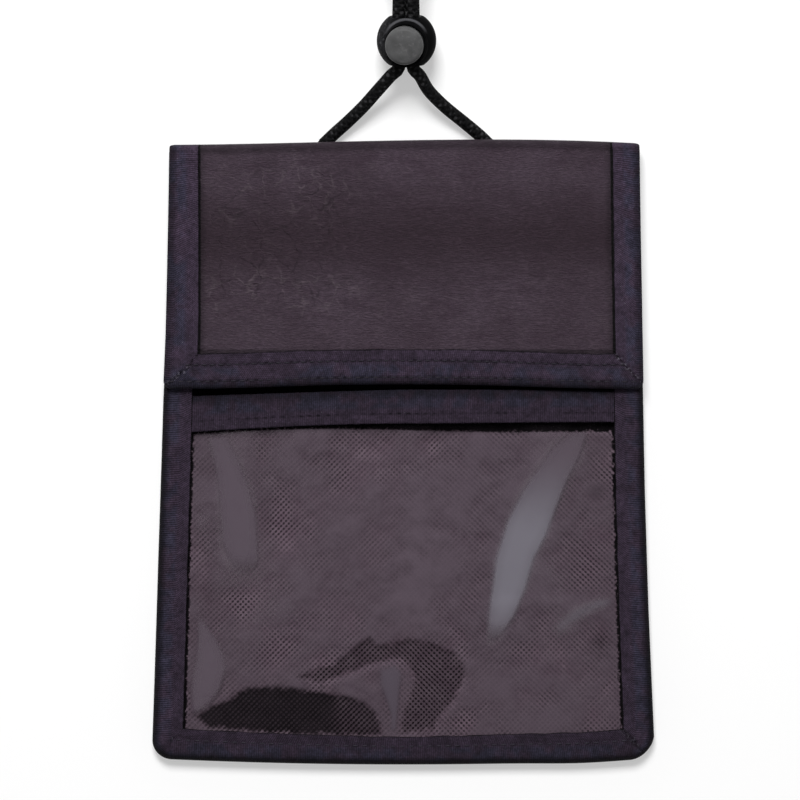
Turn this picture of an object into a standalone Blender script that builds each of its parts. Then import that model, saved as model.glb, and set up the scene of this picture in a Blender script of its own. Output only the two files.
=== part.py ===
"""Credential wallet on a neck cord: a flat bound pouch with a clear window under a leatherette flap,
lying on its back, with its cord lock upright on the doubled cord above it. The origin is under the
middle of the wallet, on the surface that it lies on; +X is to its right and +Y towards its top edge."""

import math

import bmesh
import bpy
import numpy as np
from mathutils import Matrix, Vector

MM = 0.001

# The wallet as seen from the front
WALLET_LENGTH = 157.4 * MM
TOP_WIDTH = 119.0 * MM
BOTTOM_WIDTH = 127.0 * MM
TAPER_POWER = 1.35
CORNER_RADIUS = 5.0 * MM
HEM_BOW = 1.0 * MM
HEM_BOW_POWER = 6

# What the cloth, tape and sheet measure through
TAPE = 0.4 * MM
PANEL = 0.4 * MM
VINYL = 0.3 * MM
LINING = 0.3 * MM
LEATHER = 0.6 * MM
PATCH = 0.7 * MM
GAP = 0.25 * MM
TAPE_FOLD = 1.5 * MM

# Bindings
BODY_LEG = 7.8 * MM
FLAP_SIDE_LEG = 7.6 * MM
FLAP_HEM_LEG = 8.6 * MM
FLAP_LENGTH = 61.7 * MM
FLAP_CORNER = 2.0 * MM
STRIP_WIDTH = 8.9 * MM
SLIT = 1.5 * MM
MOUTH_DROP = 14.7 * MM
MOUTH_WIDTH = 6.0 * MM

# How far the sheets swell, and over what run they rise from the bindings
FRONT_SWELL = 0.6 * MM
WINDOW_SWELL = 1.4 * MM
FLAP_SWELL = 0.4 * MM
SWELL_RUN = 26.0 * MM

# Hook and loop patches under the flap
PATCH_LENGTH = 50.0 * MM
PATCH_HEIGHT = 16.0 * MM
PATCH_ABOVE_HEM = 13.0 * MM

# Top seam, where the flap's tail and both cord ends are sewn
TAIL_LENGTH = 10.5 * MM
CORD_TAB = 1.0 * MM
CORD_TAB_WIDTH = 5.0 * MM
CORD_TAB_LENGTH = 13.0 * MM
LEFT_TAB_ANGLE = math.radians(42)
RIGHT_TAB_ANGLE = math.radians(-51)

# Neck cord
CORD_DIAMETER = 3.2 * MM
CORD_REST = 0.2 * MM
STRAND_SPACING = 3.5 * MM
TUBE_POINTS = 26

# Cord lock, in its own frame: the slot runs along Y at its origin, the button points up
LOCK_X = 0.6 * MM
LOCK_ABOVE_TOP = 25.5 * MM
LOCK_TILT = math.radians(10)
LOCK_ROLL = math.radians(-4.2)
LOCK_TRAVEL = 8.0 * MM
HOUSING_RADIUS = 7.55 * MM
HOUSING_WAIST = 2.0 * MM
HOUSING_FOOT_RADIUS = 5.7 * MM
HOUSING_DEPTH = 9.0 * MM
SHOULDER_HEIGHT = 3.4 * MM
SHOULDER_RADIUS = 5.95 * MM
COLLAR_RADIUS = 5.75 * MM
COLLAR_HEIGHT = 4.8 * MM
COLLAR_LIP = 0.35 * MM
HOUSING_FLAT = 6.1 * MM
HOUSING_FLOOR = 1.4 * MM
HOUSING_EDGE = 0.5 * MM
PLUNGER_RADIUS = 4.85 * MM
PLUNGER_CLEARANCE = 0.3 * MM
BUTTON_HEIGHT = 7.2 * MM
BUTTON_DOME = 0.35 * MM
BUTTON_EDGE = 0.7 * MM
PLUNGER_DEPTH = 3.6 * MM
BUTTON_TRAVEL = 2.2 * MM
SLOT_WIDTH = 7.4 * MM
SLOT_HEIGHT = 3.8 * MM
SPRING_WIRE = 0.4 * MM
SPRING_RADIUS = 3.6 * MM
SPRING_TURNS = 3
SPRING_TURN_POINTS = 10
CUT_OVERRUN = 2.0 * MM

# Hank of the cord that is put away, tied at its waist
HANK_ABOVE_TOP = 81.3 * MM
HANK_RUN = 48.0 * MM
HANK_TURNS = 4.75
HANK_REVERSAL = 2.625
HANK_INNER_RADIUS = 6.4 * MM
HANK_STEP = 3.95 * MM
HANK_LAYER = 3.65 * MM
HANK_WAIST_RUN = 45.0 * MM
HANK_TURN_POINTS = 24
TIE_WIDTH = 9.0 * MM
TIE_THICKNESS = 0.8 * MM
TIE_CORNER = 2.4 * MM

# The free cord's route between its seam, the lock and the hank, chosen by hand: across, above the
# wallet's top edge, and up
LEFT_EXIT = (-19.6 * MM, 0.7 * MM)
RIGHT_EXIT = (20.9 * MM, 0.7 * MM)
LEFT_LEG = (
    (-17.6 * MM, 2.6 * MM, 1.9 * MM),
    (-13.9 * MM, 5.6 * MM, 2.7 * MM),
    (-9.7 * MM, 9.4 * MM, 4.2 * MM),
    (-6.0 * MM, 13.3 * MM, 6.2 * MM),
    (-3.1 * MM, 16.9 * MM, 7.9 * MM),
)
RIGHT_LEG = (
    (18.4 * MM, 2.5 * MM, 1.9 * MM),
    (14.6 * MM, 5.6 * MM, 2.7 * MM),
    (9.9 * MM, 9.4 * MM, 4.2 * MM),
    (6.4 * MM, 13.3 * MM, 6.2 * MM),
    (4.2 * MM, 16.9 * MM, 7.9 * MM),
)
LEFT_RETURN = (
    (-2.4 * MM, 45.3 * MM, 12.2 * MM),
    (-5.7 * MM, 50.8 * MM, 9.2 * MM),
    (-10.2 * MM, 56.3 * MM, 5.2 * MM),
    (-14.2 * MM, 62.3 * MM, 2.5 * MM),
    (-16.5 * MM, 68.8 * MM, 1.85 * MM),
)
RIGHT_RETURN = (
    (3.4 * MM, 45.3 * MM, 12.5 * MM),
    (6.3 * MM, 50.8 * MM, 10.6 * MM),
    (10.2 * MM, 56.3 * MM, 8.2 * MM),
    (13.2 * MM, 62.3 * MM, 6.4 * MM),
    (14.7 * MM, 68.8 * MM, 5.6 * MM),
)

# Smoothness
FOLD_STEPS = 6
CORNER_STEPS = 5
SIDE_STEPS = 10
HEM_STEPS = 6
SHEET_COLUMNS = 16
SHEET_ROWS = 14
ROLL_STEPS = 8
ROUND_SIDES = 40
WELD = 0.001 * MM

# Worked out from the sizes above
HALF_LENGTH = WALLET_LENGTH / 2
HALF_WIDTH = BOTTOM_WIDTH / 2
EDGE_INSET = TAPE_FOLD + GAP
CORD_RADIUS = CORD_DIAMETER / 2
CORD_Z = CORD_RADIUS + CORD_REST

# Heights of the layers' lower faces, from the surface up
BACK_PANEL_Z = TAPE + GAP
CORD_TAB_Z = BACK_PANEL_Z + PANEL + GAP
TAIL_Z = CORD_TAB_Z + CORD_TAB + GAP
MOUTH_Z = BACK_PANEL_Z + PANEL + GAP
FRONT_PANEL_Z = MOUTH_Z + TAPE + GAP
MOUTH_TOP = FRONT_PANEL_Z + PANEL + GAP + TAPE
LOOP_PATCH_Z = FRONT_PANEL_Z + PANEL + GAP
STRIP_Z = FRONT_PANEL_Z + PANEL + GAP
WINDOW_Z = STRIP_Z + TAPE + GAP
BODY_TOP = WINDOW_Z + VINYL + GAP + TAPE
FLAP_Z = BODY_TOP + GAP
LINING_Z = FLAP_Z + TAPE + GAP
LEATHER_Z = LINING_Z + LINING + GAP
LEATHER_TOP = LEATHER_Z + LEATHER
FLAP_TOP = LEATHER_TOP + GAP + TAPE
HOOK_PATCH_Z = LINING_Z - GAP - PATCH

# The hinge runs through the middle of the leatherette's roll
HINGE_Z = (TAIL_Z + LEATHER_TOP) / 2
ROLL_RADIUS = (LEATHER_TOP - TAIL_Z) / 2
HINGE_Y = HALF_LENGTH - ROLL_RADIUS
HEM_Y = HALF_LENGTH - FLAP_LENGTH
STRIP_TOP_Y = HEM_Y - SLIT
MOUTH_Y = HALF_LENGTH - MOUTH_DROP
LOCK_Y = HALF_LENGTH + LOCK_ABOVE_TOP
HANK_START = HALF_LENGTH + HANK_ABOVE_TOP

# The lock stands on the low edge of its foot
LOCK_Z = (
    CORD_REST + HOUSING_DEPTH * math.cos(LOCK_TILT) + HOUSING_FOOT_RADIUS * math.sin(LOCK_TILT)
)
LOCK_PLACE = (
    Matrix.Translation((LOCK_X, LOCK_Y, LOCK_Z))
    @ Matrix.Rotation(LOCK_TILT, 4, "X")
    @ Matrix.Rotation(LOCK_ROLL, 4, "Y")
)
BORE_RADIUS = PLUNGER_RADIUS + PLUNGER_CLEARANCE
LOCK_REACH = HOUSING_FLAT + GAP


def clear_scene():
    for item in list(bpy.data.objects):
        bpy.data.objects.remove(item, do_unlink=True)


def collection(name, hidden=False):
    made = bpy.data.collections.new(name)
    bpy.context.scene.collection.children.link(made)
    made.hide_render = hidden
    return made


def material(name, colour, roughness, metallic=0.0, alpha=1.0):
    made = bpy.data.materials.new(name)
    made.use_nodes = True
    shader = made.node_tree.nodes["Principled BSDF"]
    shader.inputs["Base Color"].default_value = (*colour, 1.0)
    shader.inputs["Roughness"].default_value = roughness
    shader.inputs["Metallic"].default_value = metallic
    shader.inputs["Alpha"].default_value = alpha
    made.diffuse_color = (*colour, alpha)
    return made


def add_object(name, data, finish, where=None):
    made = bpy.data.objects.new(name, data)
    (where or PARTS).objects.link(made)
    if finish is not None:
        data.materials.append(finish)
    return made


def worn(x, y):
    """The cut shape, straight and square, narrowed towards the top edge and bowed at the bottom."""
    from_top = min(max((HALF_LENGTH - y) / WALLET_LENGTH, 0), 1)
    narrow = TOP_WIDTH / BOTTOM_WIDTH
    width = narrow + (1 - narrow) * from_top**TAPER_POWER
    bow = HEM_BOW * (x / HALF_WIDTH) ** 2 * from_top**HEM_BOW_POWER
    return x * width, y + bow


def smooth(share):
    """0 to 1 with level ends."""
    share = min(max(share, 0), 1)
    return share * share * (3 - 2 * share)


def swell(x, y, height, low, high=None):
    """How far a sheet stands up inside its bindings. It is open, and stays up, where there is no high edge."""
    half = HALF_WIDTH - BODY_LEG
    across = max(1 - (x / half) ** 2, 0) ** 2
    along = smooth((y - low) / SWELL_RUN)
    if high is not None:
        along *= smooth((high - y) / SWELL_RUN)
    return height * across * along


def pocket_swell(x, y, height):
    return swell(x, y, height, BODY_LEG - HALF_LENGTH)


def flap_swell(x, y):
    return swell(x, y, FLAP_SWELL, HEM_Y + FLAP_HEM_LEG, HINGE_Y)


def cloth(name, finish, columns, rows, place, thickness, outward=True):
    """A grid laid where place(column, row) says, thickened behind its face, or over it."""
    grid = bmesh.new()
    bmesh.ops.create_grid(grid, x_segments=columns, y_segments=rows, size=1)
    for point in grid.verts:
        column = round((point.co.x + 1) / 2 * columns)
        row = round((point.co.y + 1) / 2 * rows)
        point.co = place(column, row)
    bmesh.ops.remove_doubles(grid, verts=grid.verts, dist=WELD)
    mesh = bpy.data.meshes.new(name)
    grid.to_mesh(mesh)
    grid.free()
    mesh.shade_smooth()
    made = add_object(name, mesh, finish)
    wall = made.modifiers.new("thickness", "SOLIDIFY")
    wall.thickness = thickness
    wall.offset = -1 if outward else 1
    return made


def panel(name, finish, bottom, top, level, thickness, height, corner=0.0):
    """A sheet between the bindings, from bottom to top, with height(x, y) over its level."""

    def place(column, row):
        across = 2 * column / SHEET_COLUMNS - 1
        if row <= CORNER_STEPS:
            turn = math.pi / 2 * row / CORNER_STEPS
            y = bottom + corner * (1 - math.cos(turn))
            half = HALF_WIDTH - EDGE_INSET - corner * (1 - math.sin(turn))
        else:
            rise = (row - CORNER_STEPS) / (SHEET_ROWS - CORNER_STEPS)
            y = bottom + corner + (top - bottom - corner) * rise
            half = HALF_WIDTH - EDGE_INSET
        x = across * half
        return (*worn(x, y), level + height(x, y))

    first = 0 if corner else CORNER_STEPS
    rows = SHEET_ROWS - first
    return cloth(
        name,
        finish,
        SHEET_COLUMNS,
        rows,
        lambda column, row: place(column, row + first),
        thickness,
        outward=False,
    )


def tape_section(low, high, side_leg, hem_leg):
    """Back leg, rounded fold and front leg of a tape folded over an edge: inset at the sides, at the hem,
    and height."""
    middle = (low + high) / 2
    reach = (high - low) / 2
    section = [(side_leg, hem_leg, low)]
    for step in range(FOLD_STEPS + 1):
        turn = math.pi * step / FOLD_STEPS
        inset = TAPE_FOLD * (1 - math.sin(turn))
        section.append((inset, inset, middle - reach * math.cos(turn)))
    section.append((side_leg, hem_leg, high))
    return section


def binding(name, finish, section, top, bottom, corner):
    """Tape folded over the left side, the bottom and the right side, mitred where its legs meet."""
    half_steps = SIDE_STEPS + CORNER_STEPS + HEM_STEPS

    def place(column, row):
        across, along, height = section[row]
        side = -1 if column <= half_steps else 1
        step = min(column, 2 * half_steps - column)
        radius = max(corner - across, 0)
        centre_x = HALF_WIDTH - across - radius
        centre_y = bottom + along + radius
        if step <= SIDE_STEPS:
            x = HALF_WIDTH - across
            y = top + (centre_y - top) * step / SIDE_STEPS
        elif step <= SIDE_STEPS + CORNER_STEPS:
            turn = math.pi / 2 * (step - SIDE_STEPS) / CORNER_STEPS
            x = centre_x + radius * math.cos(turn)
            y = centre_y - radius * math.sin(turn)
        else:
            x = centre_x * (half_steps - step) / HEM_STEPS
            y = bottom + along
        return (*worn(side * x, y), height)

    return cloth(name, finish, 2 * half_steps, len(section) - 1, place, TAPE)


def edge_tape(name, finish, top, width, low, high, height):
    """Tape folded over a sheet's top edge between the side bindings, following the sheet's swell."""
    half = HALF_WIDTH - BODY_LEG - GAP
    middle = (low + high) / 2
    reach = (high - low) / 2
    section = [(top - width, high)]
    for step in range(FOLD_STEPS + 1):
        turn = math.pi * step / FOLD_STEPS
        section.append((top - TAPE_FOLD * (1 - math.sin(turn)), middle + reach * math.cos(turn)))
    section.append((top - width, low))

    def place(column, row):
        x = (2 * column / SHEET_COLUMNS - 1) * half
        y, level = section[row]
        return (*worn(x, y), level + height(x, y))

    return cloth(name, finish, SHEET_COLUMNS, len(section) - 1, place, TAPE)


def patch(name, finish, level, height):
    """One half of the hook and loop fastener, centred over the front panel."""
    bottom = HEM_Y + PATCH_ABOVE_HEM

    def place(column, row):
        x = (column / SHEET_COLUMNS - 1 / 2) * PATCH_LENGTH
        y = bottom + PATCH_HEIGHT * row / CORNER_STEPS
        return (*worn(x, y), level + height(x, y))

    return cloth(name, finish, SHEET_COLUMNS, CORNER_STEPS, place, PATCH, outward=False)


def flap_roll(finish):
    """The leatherette from the hinge, over the top edge and down inside as the tail that is sewn in."""
    half = HALF_WIDTH - FLAP_SIDE_LEG - GAP

    def place(column, row):
        x = (2 * column / SHEET_COLUMNS - 1) * half
        if row <= ROLL_STEPS:
            turn = math.pi * row / ROLL_STEPS
            y = HINGE_Y + ROLL_RADIUS * math.sin(turn)
            z = HINGE_Z + ROLL_RADIUS * math.cos(turn)
        else:
            y = HINGE_Y - TAIL_LENGTH
            z = TAIL_Z
        return (*worn(x, y), z)

    return cloth("flap_fold", finish, SHEET_COLUMNS, ROLL_STEPS + 1, place, LEATHER)


def binding_roll(name, finish, side):
    """The flap binding where it rolls over the top edge: a leg over the leatherette, closed round its side."""
    reach = FLAP_TOP - HINGE_Z
    section = [(FLAP_SIDE_LEG, 1.0)]
    for step in range(FOLD_STEPS + 1):
        turn = math.pi / 2 * (1 - step / FOLD_STEPS)
        rise = TAPE / reach + (1 - TAPE / reach) * math.sin(turn)
        section.append((TAPE_FOLD * (1 - math.cos(turn)), rise))

    def place(column, row):
        inset, rise = section[row]
        turn = math.pi * column / ROLL_STEPS
        x = side * (HALF_WIDTH - inset)
        y = HINGE_Y + rise * ROLL_RADIUS * math.sin(turn)
        return (*worn(x, y), HINGE_Z + rise * reach * math.cos(turn))

    columns = ROLL_STEPS
    if side > 0:
        turned = place

        def place(column, row):
            return turned(columns - column, row)

    return cloth(name, finish, columns, len(section) - 1, place, TAPE)


def smooth_route(points, count):
    """Evenly spaced points on a smooth curve through the route's own points."""
    route = np.array(points, float)
    before = 2 * route[0] - route[1]
    after = 2 * route[-1] - route[-2]
    knots = np.vstack([before, route, after])
    share = np.linspace(0, 1, TUBE_POINTS, endpoint=False)[:, None]
    fine = []
    for a, b, c, d in zip(knots, knots[1:], knots[2:], knots[3:]):
        fine.append(
            (
                2 * b
                + (c - a) * share
                + (2 * a - 5 * b + 4 * c - d) * share**2
                + (3 * b - a - 3 * c + d) * share**3
            )
            / 2
        )
    fine = np.vstack([*fine, route[-1:]])
    travelled = np.concatenate([[0], np.cumsum(np.linalg.norm(np.diff(fine, axis=0), axis=1))])
    even = np.linspace(0, travelled[-1], count)
    return np.stack([np.interp(even, travelled, fine[:, axis]) for axis in range(3)], axis=1)


def tube(name, finish, points, radius, resolution):
    path = bpy.data.curves.new(name, "CURVE")
    path.dimensions = "3D"
    path.bevel_depth = radius
    path.bevel_resolution = resolution
    path.use_fill_caps = True
    spline = path.splines.new("POLY")
    spline.points.add(len(points) - 1)
    for point, place in zip(spline.points, points):
        point.co = (*place, 1.0)
    return add_object(name, path, finish)


def lock_point(x, y, z=0.0):
    return tuple(LOCK_PLACE @ Vector((x, y, z)))


def above_top(place):
    """A place written above the wallet's top edge, in the part's own frame."""
    return (place[0], HALF_LENGTH + place[1], *place[2:])


def strand(side, exit_place, leg, back, end):
    """One side of the cord: out of the seam, up to the lock, straight through it, and on to the hank."""
    across = side * STRAND_SPACING / 2
    through = [
        lock_point(across, -LOCK_REACH),
        lock_point(across, 0.0),
        lock_point(across, LOCK_REACH),
        lock_point(across, LOCK_REACH + LOCK_TRAVEL),
    ]
    start = (*above_top(exit_place), CORD_Z)
    return [start, *map(above_top, leg), *through, *map(above_top, back), end]


def cord_tab(name, finish, exit_place, angle):
    """The cord's end, pressed flat where it is sewn in, and round again where it leaves the seam."""
    flat = (CORD_TAB_WIDTH / 2, CORD_TAB / 2)
    middle = CORD_TAB_Z + CORD_TAB / 2
    round_end = (CORD_RADIUS, CORD_RADIUS - GAP)
    mouth = CORD_RADIUS
    stations = [
        (CORD_TAB_LENGTH, (0, 0), middle),
        (CORD_TAB_LENGTH, flat, middle),
        (CORD_TAB_LENGTH / 2, flat, middle),
        (mouth + GAP, flat, middle),
        (GAP, round_end, CORD_Z + GAP),
        (GAP, (0, 0), CORD_Z + GAP),
    ]
    sides = 2 * FOLD_STEPS
    along = Vector((-math.sin(angle), -math.cos(angle), 0))
    across = Vector((along.y, -along.x, 0))
    start = Vector((*above_top(exit_place), 0))

    grid = bmesh.new()
    bmesh.ops.create_grid(grid, x_segments=sides, y_segments=len(stations) - 1, size=1)
    for point in grid.verts:
        turn = math.pi * (point.co.x + 1)
        back, (wide, high), level = stations[round((point.co.y + 1) / 2 * (len(stations) - 1))]
        place = start + along * back + across * (wide * math.cos(turn))
        point.co = (place.x, place.y, level + high * math.sin(turn))
    bmesh.ops.remove_doubles(grid, verts=grid.verts, dist=WELD)
    bmesh.ops.recalc_face_normals(grid, faces=grid.faces)
    mesh = bpy.data.meshes.new(name)
    grid.to_mesh(mesh)
    grid.free()
    return add_object(name, mesh, finish)


def hank_radius(turns):
    """Half the loop's width: it falls at a steady rate to the reversal, and grows again from there."""
    return HANK_INNER_RADIUS + HANK_STEP * abs(turns - HANK_REVERSAL)


def hank_points():
    """The hank's loops: up the left, round the far end, down the right, round the near end. The lower
    layer winds in, the cord climbs along the run where it turns back, and the upper layer winds out."""
    far = HANK_START + HANK_RUN
    waist_y = HANK_START + HANK_RUN / 2
    drawn_in = HANK_INNER_RADIUS - HANK_STEP / 2
    lift = TIE_THICKNESS + GAP
    climb_run = 1 / 8
    tied = TIE_WIDTH / 2 + GAP
    taper = HANK_WAIST_RUN / 2 - tied
    points = []
    for step in range(round(HANK_TURNS * HANK_TURN_POINTS) + 1):
        turns = step / HANK_TURN_POINTS
        quarter, share = divmod(turns * 4, 1)
        radius = hank_radius(turns)
        turn = math.pi * share
        if quarter % 4 == 0:
            x, y = -radius, HANK_START + HANK_RUN * share
        elif quarter % 4 == 1:
            x, y = -radius * math.cos(turn), far + radius * math.sin(turn)
        elif quarter % 4 == 2:
            x, y = radius, far - HANK_RUN * share
        else:
            x, y = radius * math.cos(turn), HANK_START - radius * math.sin(turn)
        waist = smooth(1 - (abs(y - waist_y) - tied) / taper)
        climb = smooth((turns - HANK_REVERSAL + climb_run) / (2 * climb_run))
        x -= math.copysign(drawn_in * waist, x)
        points.append((x, y, CORD_Z + lift * waist + HANK_LAYER * climb))
    return points


def least_gap(points):
    """The least distance between the tube's surface and itself, away from each point's own stretch."""
    path = np.array(points)
    share = np.linspace(0, 1, TUBE_POINTS, endpoint=False)[:, None]
    fine = np.vstack([a + (b - a) * share for a, b in zip(path, path[1:])])
    travelled = np.concatenate([[0], np.cumsum(np.linalg.norm(np.diff(fine, axis=0), axis=1))])
    apart = np.linalg.norm(fine[:, None] - fine[None], axis=2)
    own = np.abs(travelled[:, None] - travelled[None]) < 3 * CORD_DIAMETER
    return np.where(own, np.inf, apart).min() - CORD_DIAMETER


def length_of(points):
    return np.linalg.norm(np.diff(np.array(points), axis=0), axis=1).sum()


def hank_tie(finish):
    """A band round the hank's waist."""
    lift = TIE_THICKNESS + GAP
    widest = hank_radius(0) - HANK_INNER_RADIUS + HANK_STEP / 2
    half = widest + CORD_RADIUS + GAP
    low = CORD_Z + lift - CORD_RADIUS - GAP
    high = CORD_Z + lift + HANK_LAYER + CORD_RADIUS + GAP
    outline = bpy.data.curves.new("hank_tie", "CURVE")
    outline.dimensions = "2D"
    outline.fill_mode = "BOTH"
    outline.extrude = TIE_WIDTH / 2
    for grown in (0.0, TIE_THICKNESS):
        radius = TIE_CORNER + grown
        corners = (
            (half + grown - radius, high + grown - radius),
            (radius - half - grown, high + grown - radius),
            (radius - half - grown, low - grown + radius),
            (half + grown - radius, low - grown + radius),
        )
        places = []
        for corner, (x, z) in enumerate(corners):
            for step in range(CORNER_STEPS + 1):
                turn = math.pi / 2 * (corner + step / CORNER_STEPS)
                places.append((x + radius * math.cos(turn), z + radius * math.sin(turn)))
        spline = outline.splines.new("POLY")
        spline.points.add(len(places) - 1)
        spline.use_cyclic_u = True
        for point, (x, z) in zip(spline.points, places):
            point.co = (x, z, 0, 1.0)
    band = add_object("hank_tie", outline, finish)
    band.rotation_euler = (math.pi / 2, 0, 0)
    band.location = (0, HANK_START + HANK_RUN / 2, 0)
    return band


def turned(name, finish, profile, where=None):
    """A solid of revolution about the lock's upright axis, from (radius, height) points, top to bottom."""
    mesh = bpy.data.meshes.new(name)
    points = [(radius, 0, height) for radius, height in profile]
    mesh.from_pydata(points, [(i, i + 1) for i in range(len(points) - 1)], [])
    made = add_object(name, mesh, finish, where)
    screw = made.modifiers.new("turn", "SCREW")
    screw.steps = screw.render_steps = ROUND_SIDES
    screw.use_merge_vertices = True
    screw.merge_threshold = WELD
    return made


def arc(centre_radius, centre_height, radius, first, last, steps=CORNER_STEPS):
    """Points of a quarter round on a turned profile, by angle from the outward direction."""
    places = []
    for step in range(steps + 1):
        turn = math.radians(first + (last - first) * step / steps)
        places.append(
            (centre_radius + radius * math.cos(turn), centre_height + radius * math.sin(turn))
        )
    return places


def slot_cutter(name, low, high, length):
    """An obround bar along Y, from low to high, as wide as both strands."""
    radius = (high - low) / 2
    outline = bpy.data.curves.new(name, "CURVE")
    outline.dimensions = "2D"
    outline.fill_mode = "BOTH"
    outline.extrude = length / 2
    places = []
    reach = SLOT_WIDTH / 2 - min(radius, SLOT_HEIGHT / 2)
    round_radius = SLOT_WIDTH / 2 - reach
    corners = (
        (reach, high - round_radius, 0),
        (-reach, high - round_radius, 1),
        (-reach, low + round_radius, 2),
        (reach, low + round_radius, 3),
    )
    for x, z, quarter in corners:
        for step in range(CORNER_STEPS + 1):
            turn = math.pi / 2 * (quarter + step / CORNER_STEPS)
            places.append((x + round_radius * math.cos(turn), z + round_radius * math.sin(turn)))
    spline = outline.splines.new("POLY")
    spline.points.add(len(places) - 1)
    spline.use_cyclic_u = True
    for point, (x, z) in zip(spline.points, places):
        point.co = (x, z, 0, 1.0)
    drawn = add_object(name, outline, None, CUTTERS)
    drawn.rotation_euler = (math.pi / 2, 0, 0)
    bpy.context.view_layer.update()
    graph = bpy.context.evaluated_depsgraph_get()
    mesh = bpy.data.meshes.new_from_object(drawn.evaluated_get(graph))
    mesh.transform(drawn.matrix_world)
    bpy.data.objects.remove(drawn, do_unlink=True)
    whole = bmesh.new()
    whole.from_mesh(mesh)
    bmesh.ops.remove_doubles(whole, verts=whole.verts, dist=WELD)
    bmesh.ops.recalc_face_normals(whole, faces=whole.faces)
    whole.to_mesh(mesh)
    whole.free()
    return as_cutter(bpy.data.objects.new(name, mesh))


def as_cutter(cutter):
    if cutter.name not in CUTTERS.objects:
        CUTTERS.objects.link(cutter)
    cutter.hide_render = True
    cutter.display_type = "WIRE"
    return cutter


def cut(piece, cutter):
    cutter.parent = piece.parent
    taken = piece.modifiers.new("cut " + cutter.name, "BOOLEAN")
    taken.operation = "DIFFERENCE"
    taken.object = cutter


def flat_cutter(name, side):
    """A block outside the flat on which the cord leaves the housing."""
    block = bmesh.new()
    bmesh.ops.create_cube(block, size=1)
    deep = HOUSING_RADIUS
    tall = 2 * (HOUSING_DEPTH + COLLAR_HEIGHT)
    wide = 2 * HOUSING_RADIUS + CUT_OVERRUN
    bmesh.ops.scale(block, verts=block.verts, vec=(wide, deep, tall))
    bmesh.ops.translate(block, verts=block.verts, vec=(0, side * (HOUSING_FLAT + deep / 2), 0))
    mesh = bpy.data.meshes.new(name)
    block.to_mesh(mesh)
    block.free()
    return as_cutter(bpy.data.objects.new(name, mesh))


def lock_housing(finish, frame):
    """A barrel with a collar round its button, two flats where the cord passes, a bore and a cross slot."""
    floor = HOUSING_FLOOR - HOUSING_DEPTH
    foot_arc = arc(
        HOUSING_FOOT_RADIUS - HOUSING_EDGE, HOUSING_EDGE - HOUSING_DEPTH, HOUSING_EDGE, 0, -90
    )
    lip_outer = arc(COLLAR_RADIUS - COLLAR_LIP, COLLAR_HEIGHT - COLLAR_LIP, COLLAR_LIP, 90, 0)
    side = []
    for step in range(1, ROLL_STEPS):
        share = step / ROLL_STEPS
        height = SHOULDER_HEIGHT + (HOUSING_EDGE - HOUSING_DEPTH - SHOULDER_HEIGHT) * share
        if height > -HOUSING_WAIST:
            fall = (height + HOUSING_WAIST) / (SHOULDER_HEIGHT + HOUSING_WAIST)
            radius = HOUSING_RADIUS - (HOUSING_RADIUS - SHOULDER_RADIUS) * fall**2
        else:
            fall = (-HOUSING_WAIST - height) / (HOUSING_DEPTH - HOUSING_EDGE - HOUSING_WAIST)
            radius = HOUSING_RADIUS - (HOUSING_RADIUS - HOUSING_FOOT_RADIUS) * fall**2
        side.append((radius, height))
    profile = [
        (0, floor),
        (BORE_RADIUS, floor),
        (BORE_RADIUS, COLLAR_HEIGHT),
        *lip_outer,
        (COLLAR_RADIUS, SHOULDER_HEIGHT + COLLAR_LIP),
        (SHOULDER_RADIUS, SHOULDER_HEIGHT),
        *side,
        *foot_arc,
        (0, -HOUSING_DEPTH),
    ]
    housing = turned("lock_housing", finish, profile)
    housing.parent = frame
    half = SLOT_HEIGHT / 2
    cut(housing, flat_cutter("flat_near", -1))
    cut(housing, flat_cutter("flat_far", 1))
    cut(housing, slot_cutter("housing_slot", -half, half, 2 * HOUSING_RADIUS + CUT_OVERRUN))


def lock_plunger(finish, frame):
    """The push button and its stem, with the cross slot that grips the cord by its lower edge."""
    top_arc = arc(PLUNGER_RADIUS - BUTTON_EDGE, BUTTON_HEIGHT - BUTTON_EDGE, BUTTON_EDGE, 90, 0)
    profile = [
        (0, BUTTON_HEIGHT + BUTTON_DOME),
        *top_arc,
        (PLUNGER_RADIUS, -PLUNGER_DEPTH),
        (0, -PLUNGER_DEPTH),
    ]
    plunger = turned("lock_plunger", finish, profile)
    plunger.parent = frame
    half = SLOT_HEIGHT / 2
    cut(plunger, slot_cutter("plunger_slot", -half, half + BUTTON_TRAVEL, 2 * BORE_RADIUS))


def lock_spring(finish, frame):
    low = HOUSING_FLOOR - HOUSING_DEPTH + SPRING_WIRE / 2 + GAP
    high = -PLUNGER_DEPTH - SPRING_WIRE / 2 - GAP
    steps = SPRING_TURNS * SPRING_TURN_POINTS
    points = []
    for step in range(steps + 1):
        turn = math.tau * step / SPRING_TURN_POINTS
        height = low + (high - low) * step / steps
        points.append((SPRING_RADIUS * math.cos(turn), SPRING_RADIUS * math.sin(turn), height))
    spring = tube("lock_spring", finish, points, SPRING_WIRE / 2, 1)
    spring.parent = frame
    return spring


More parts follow.
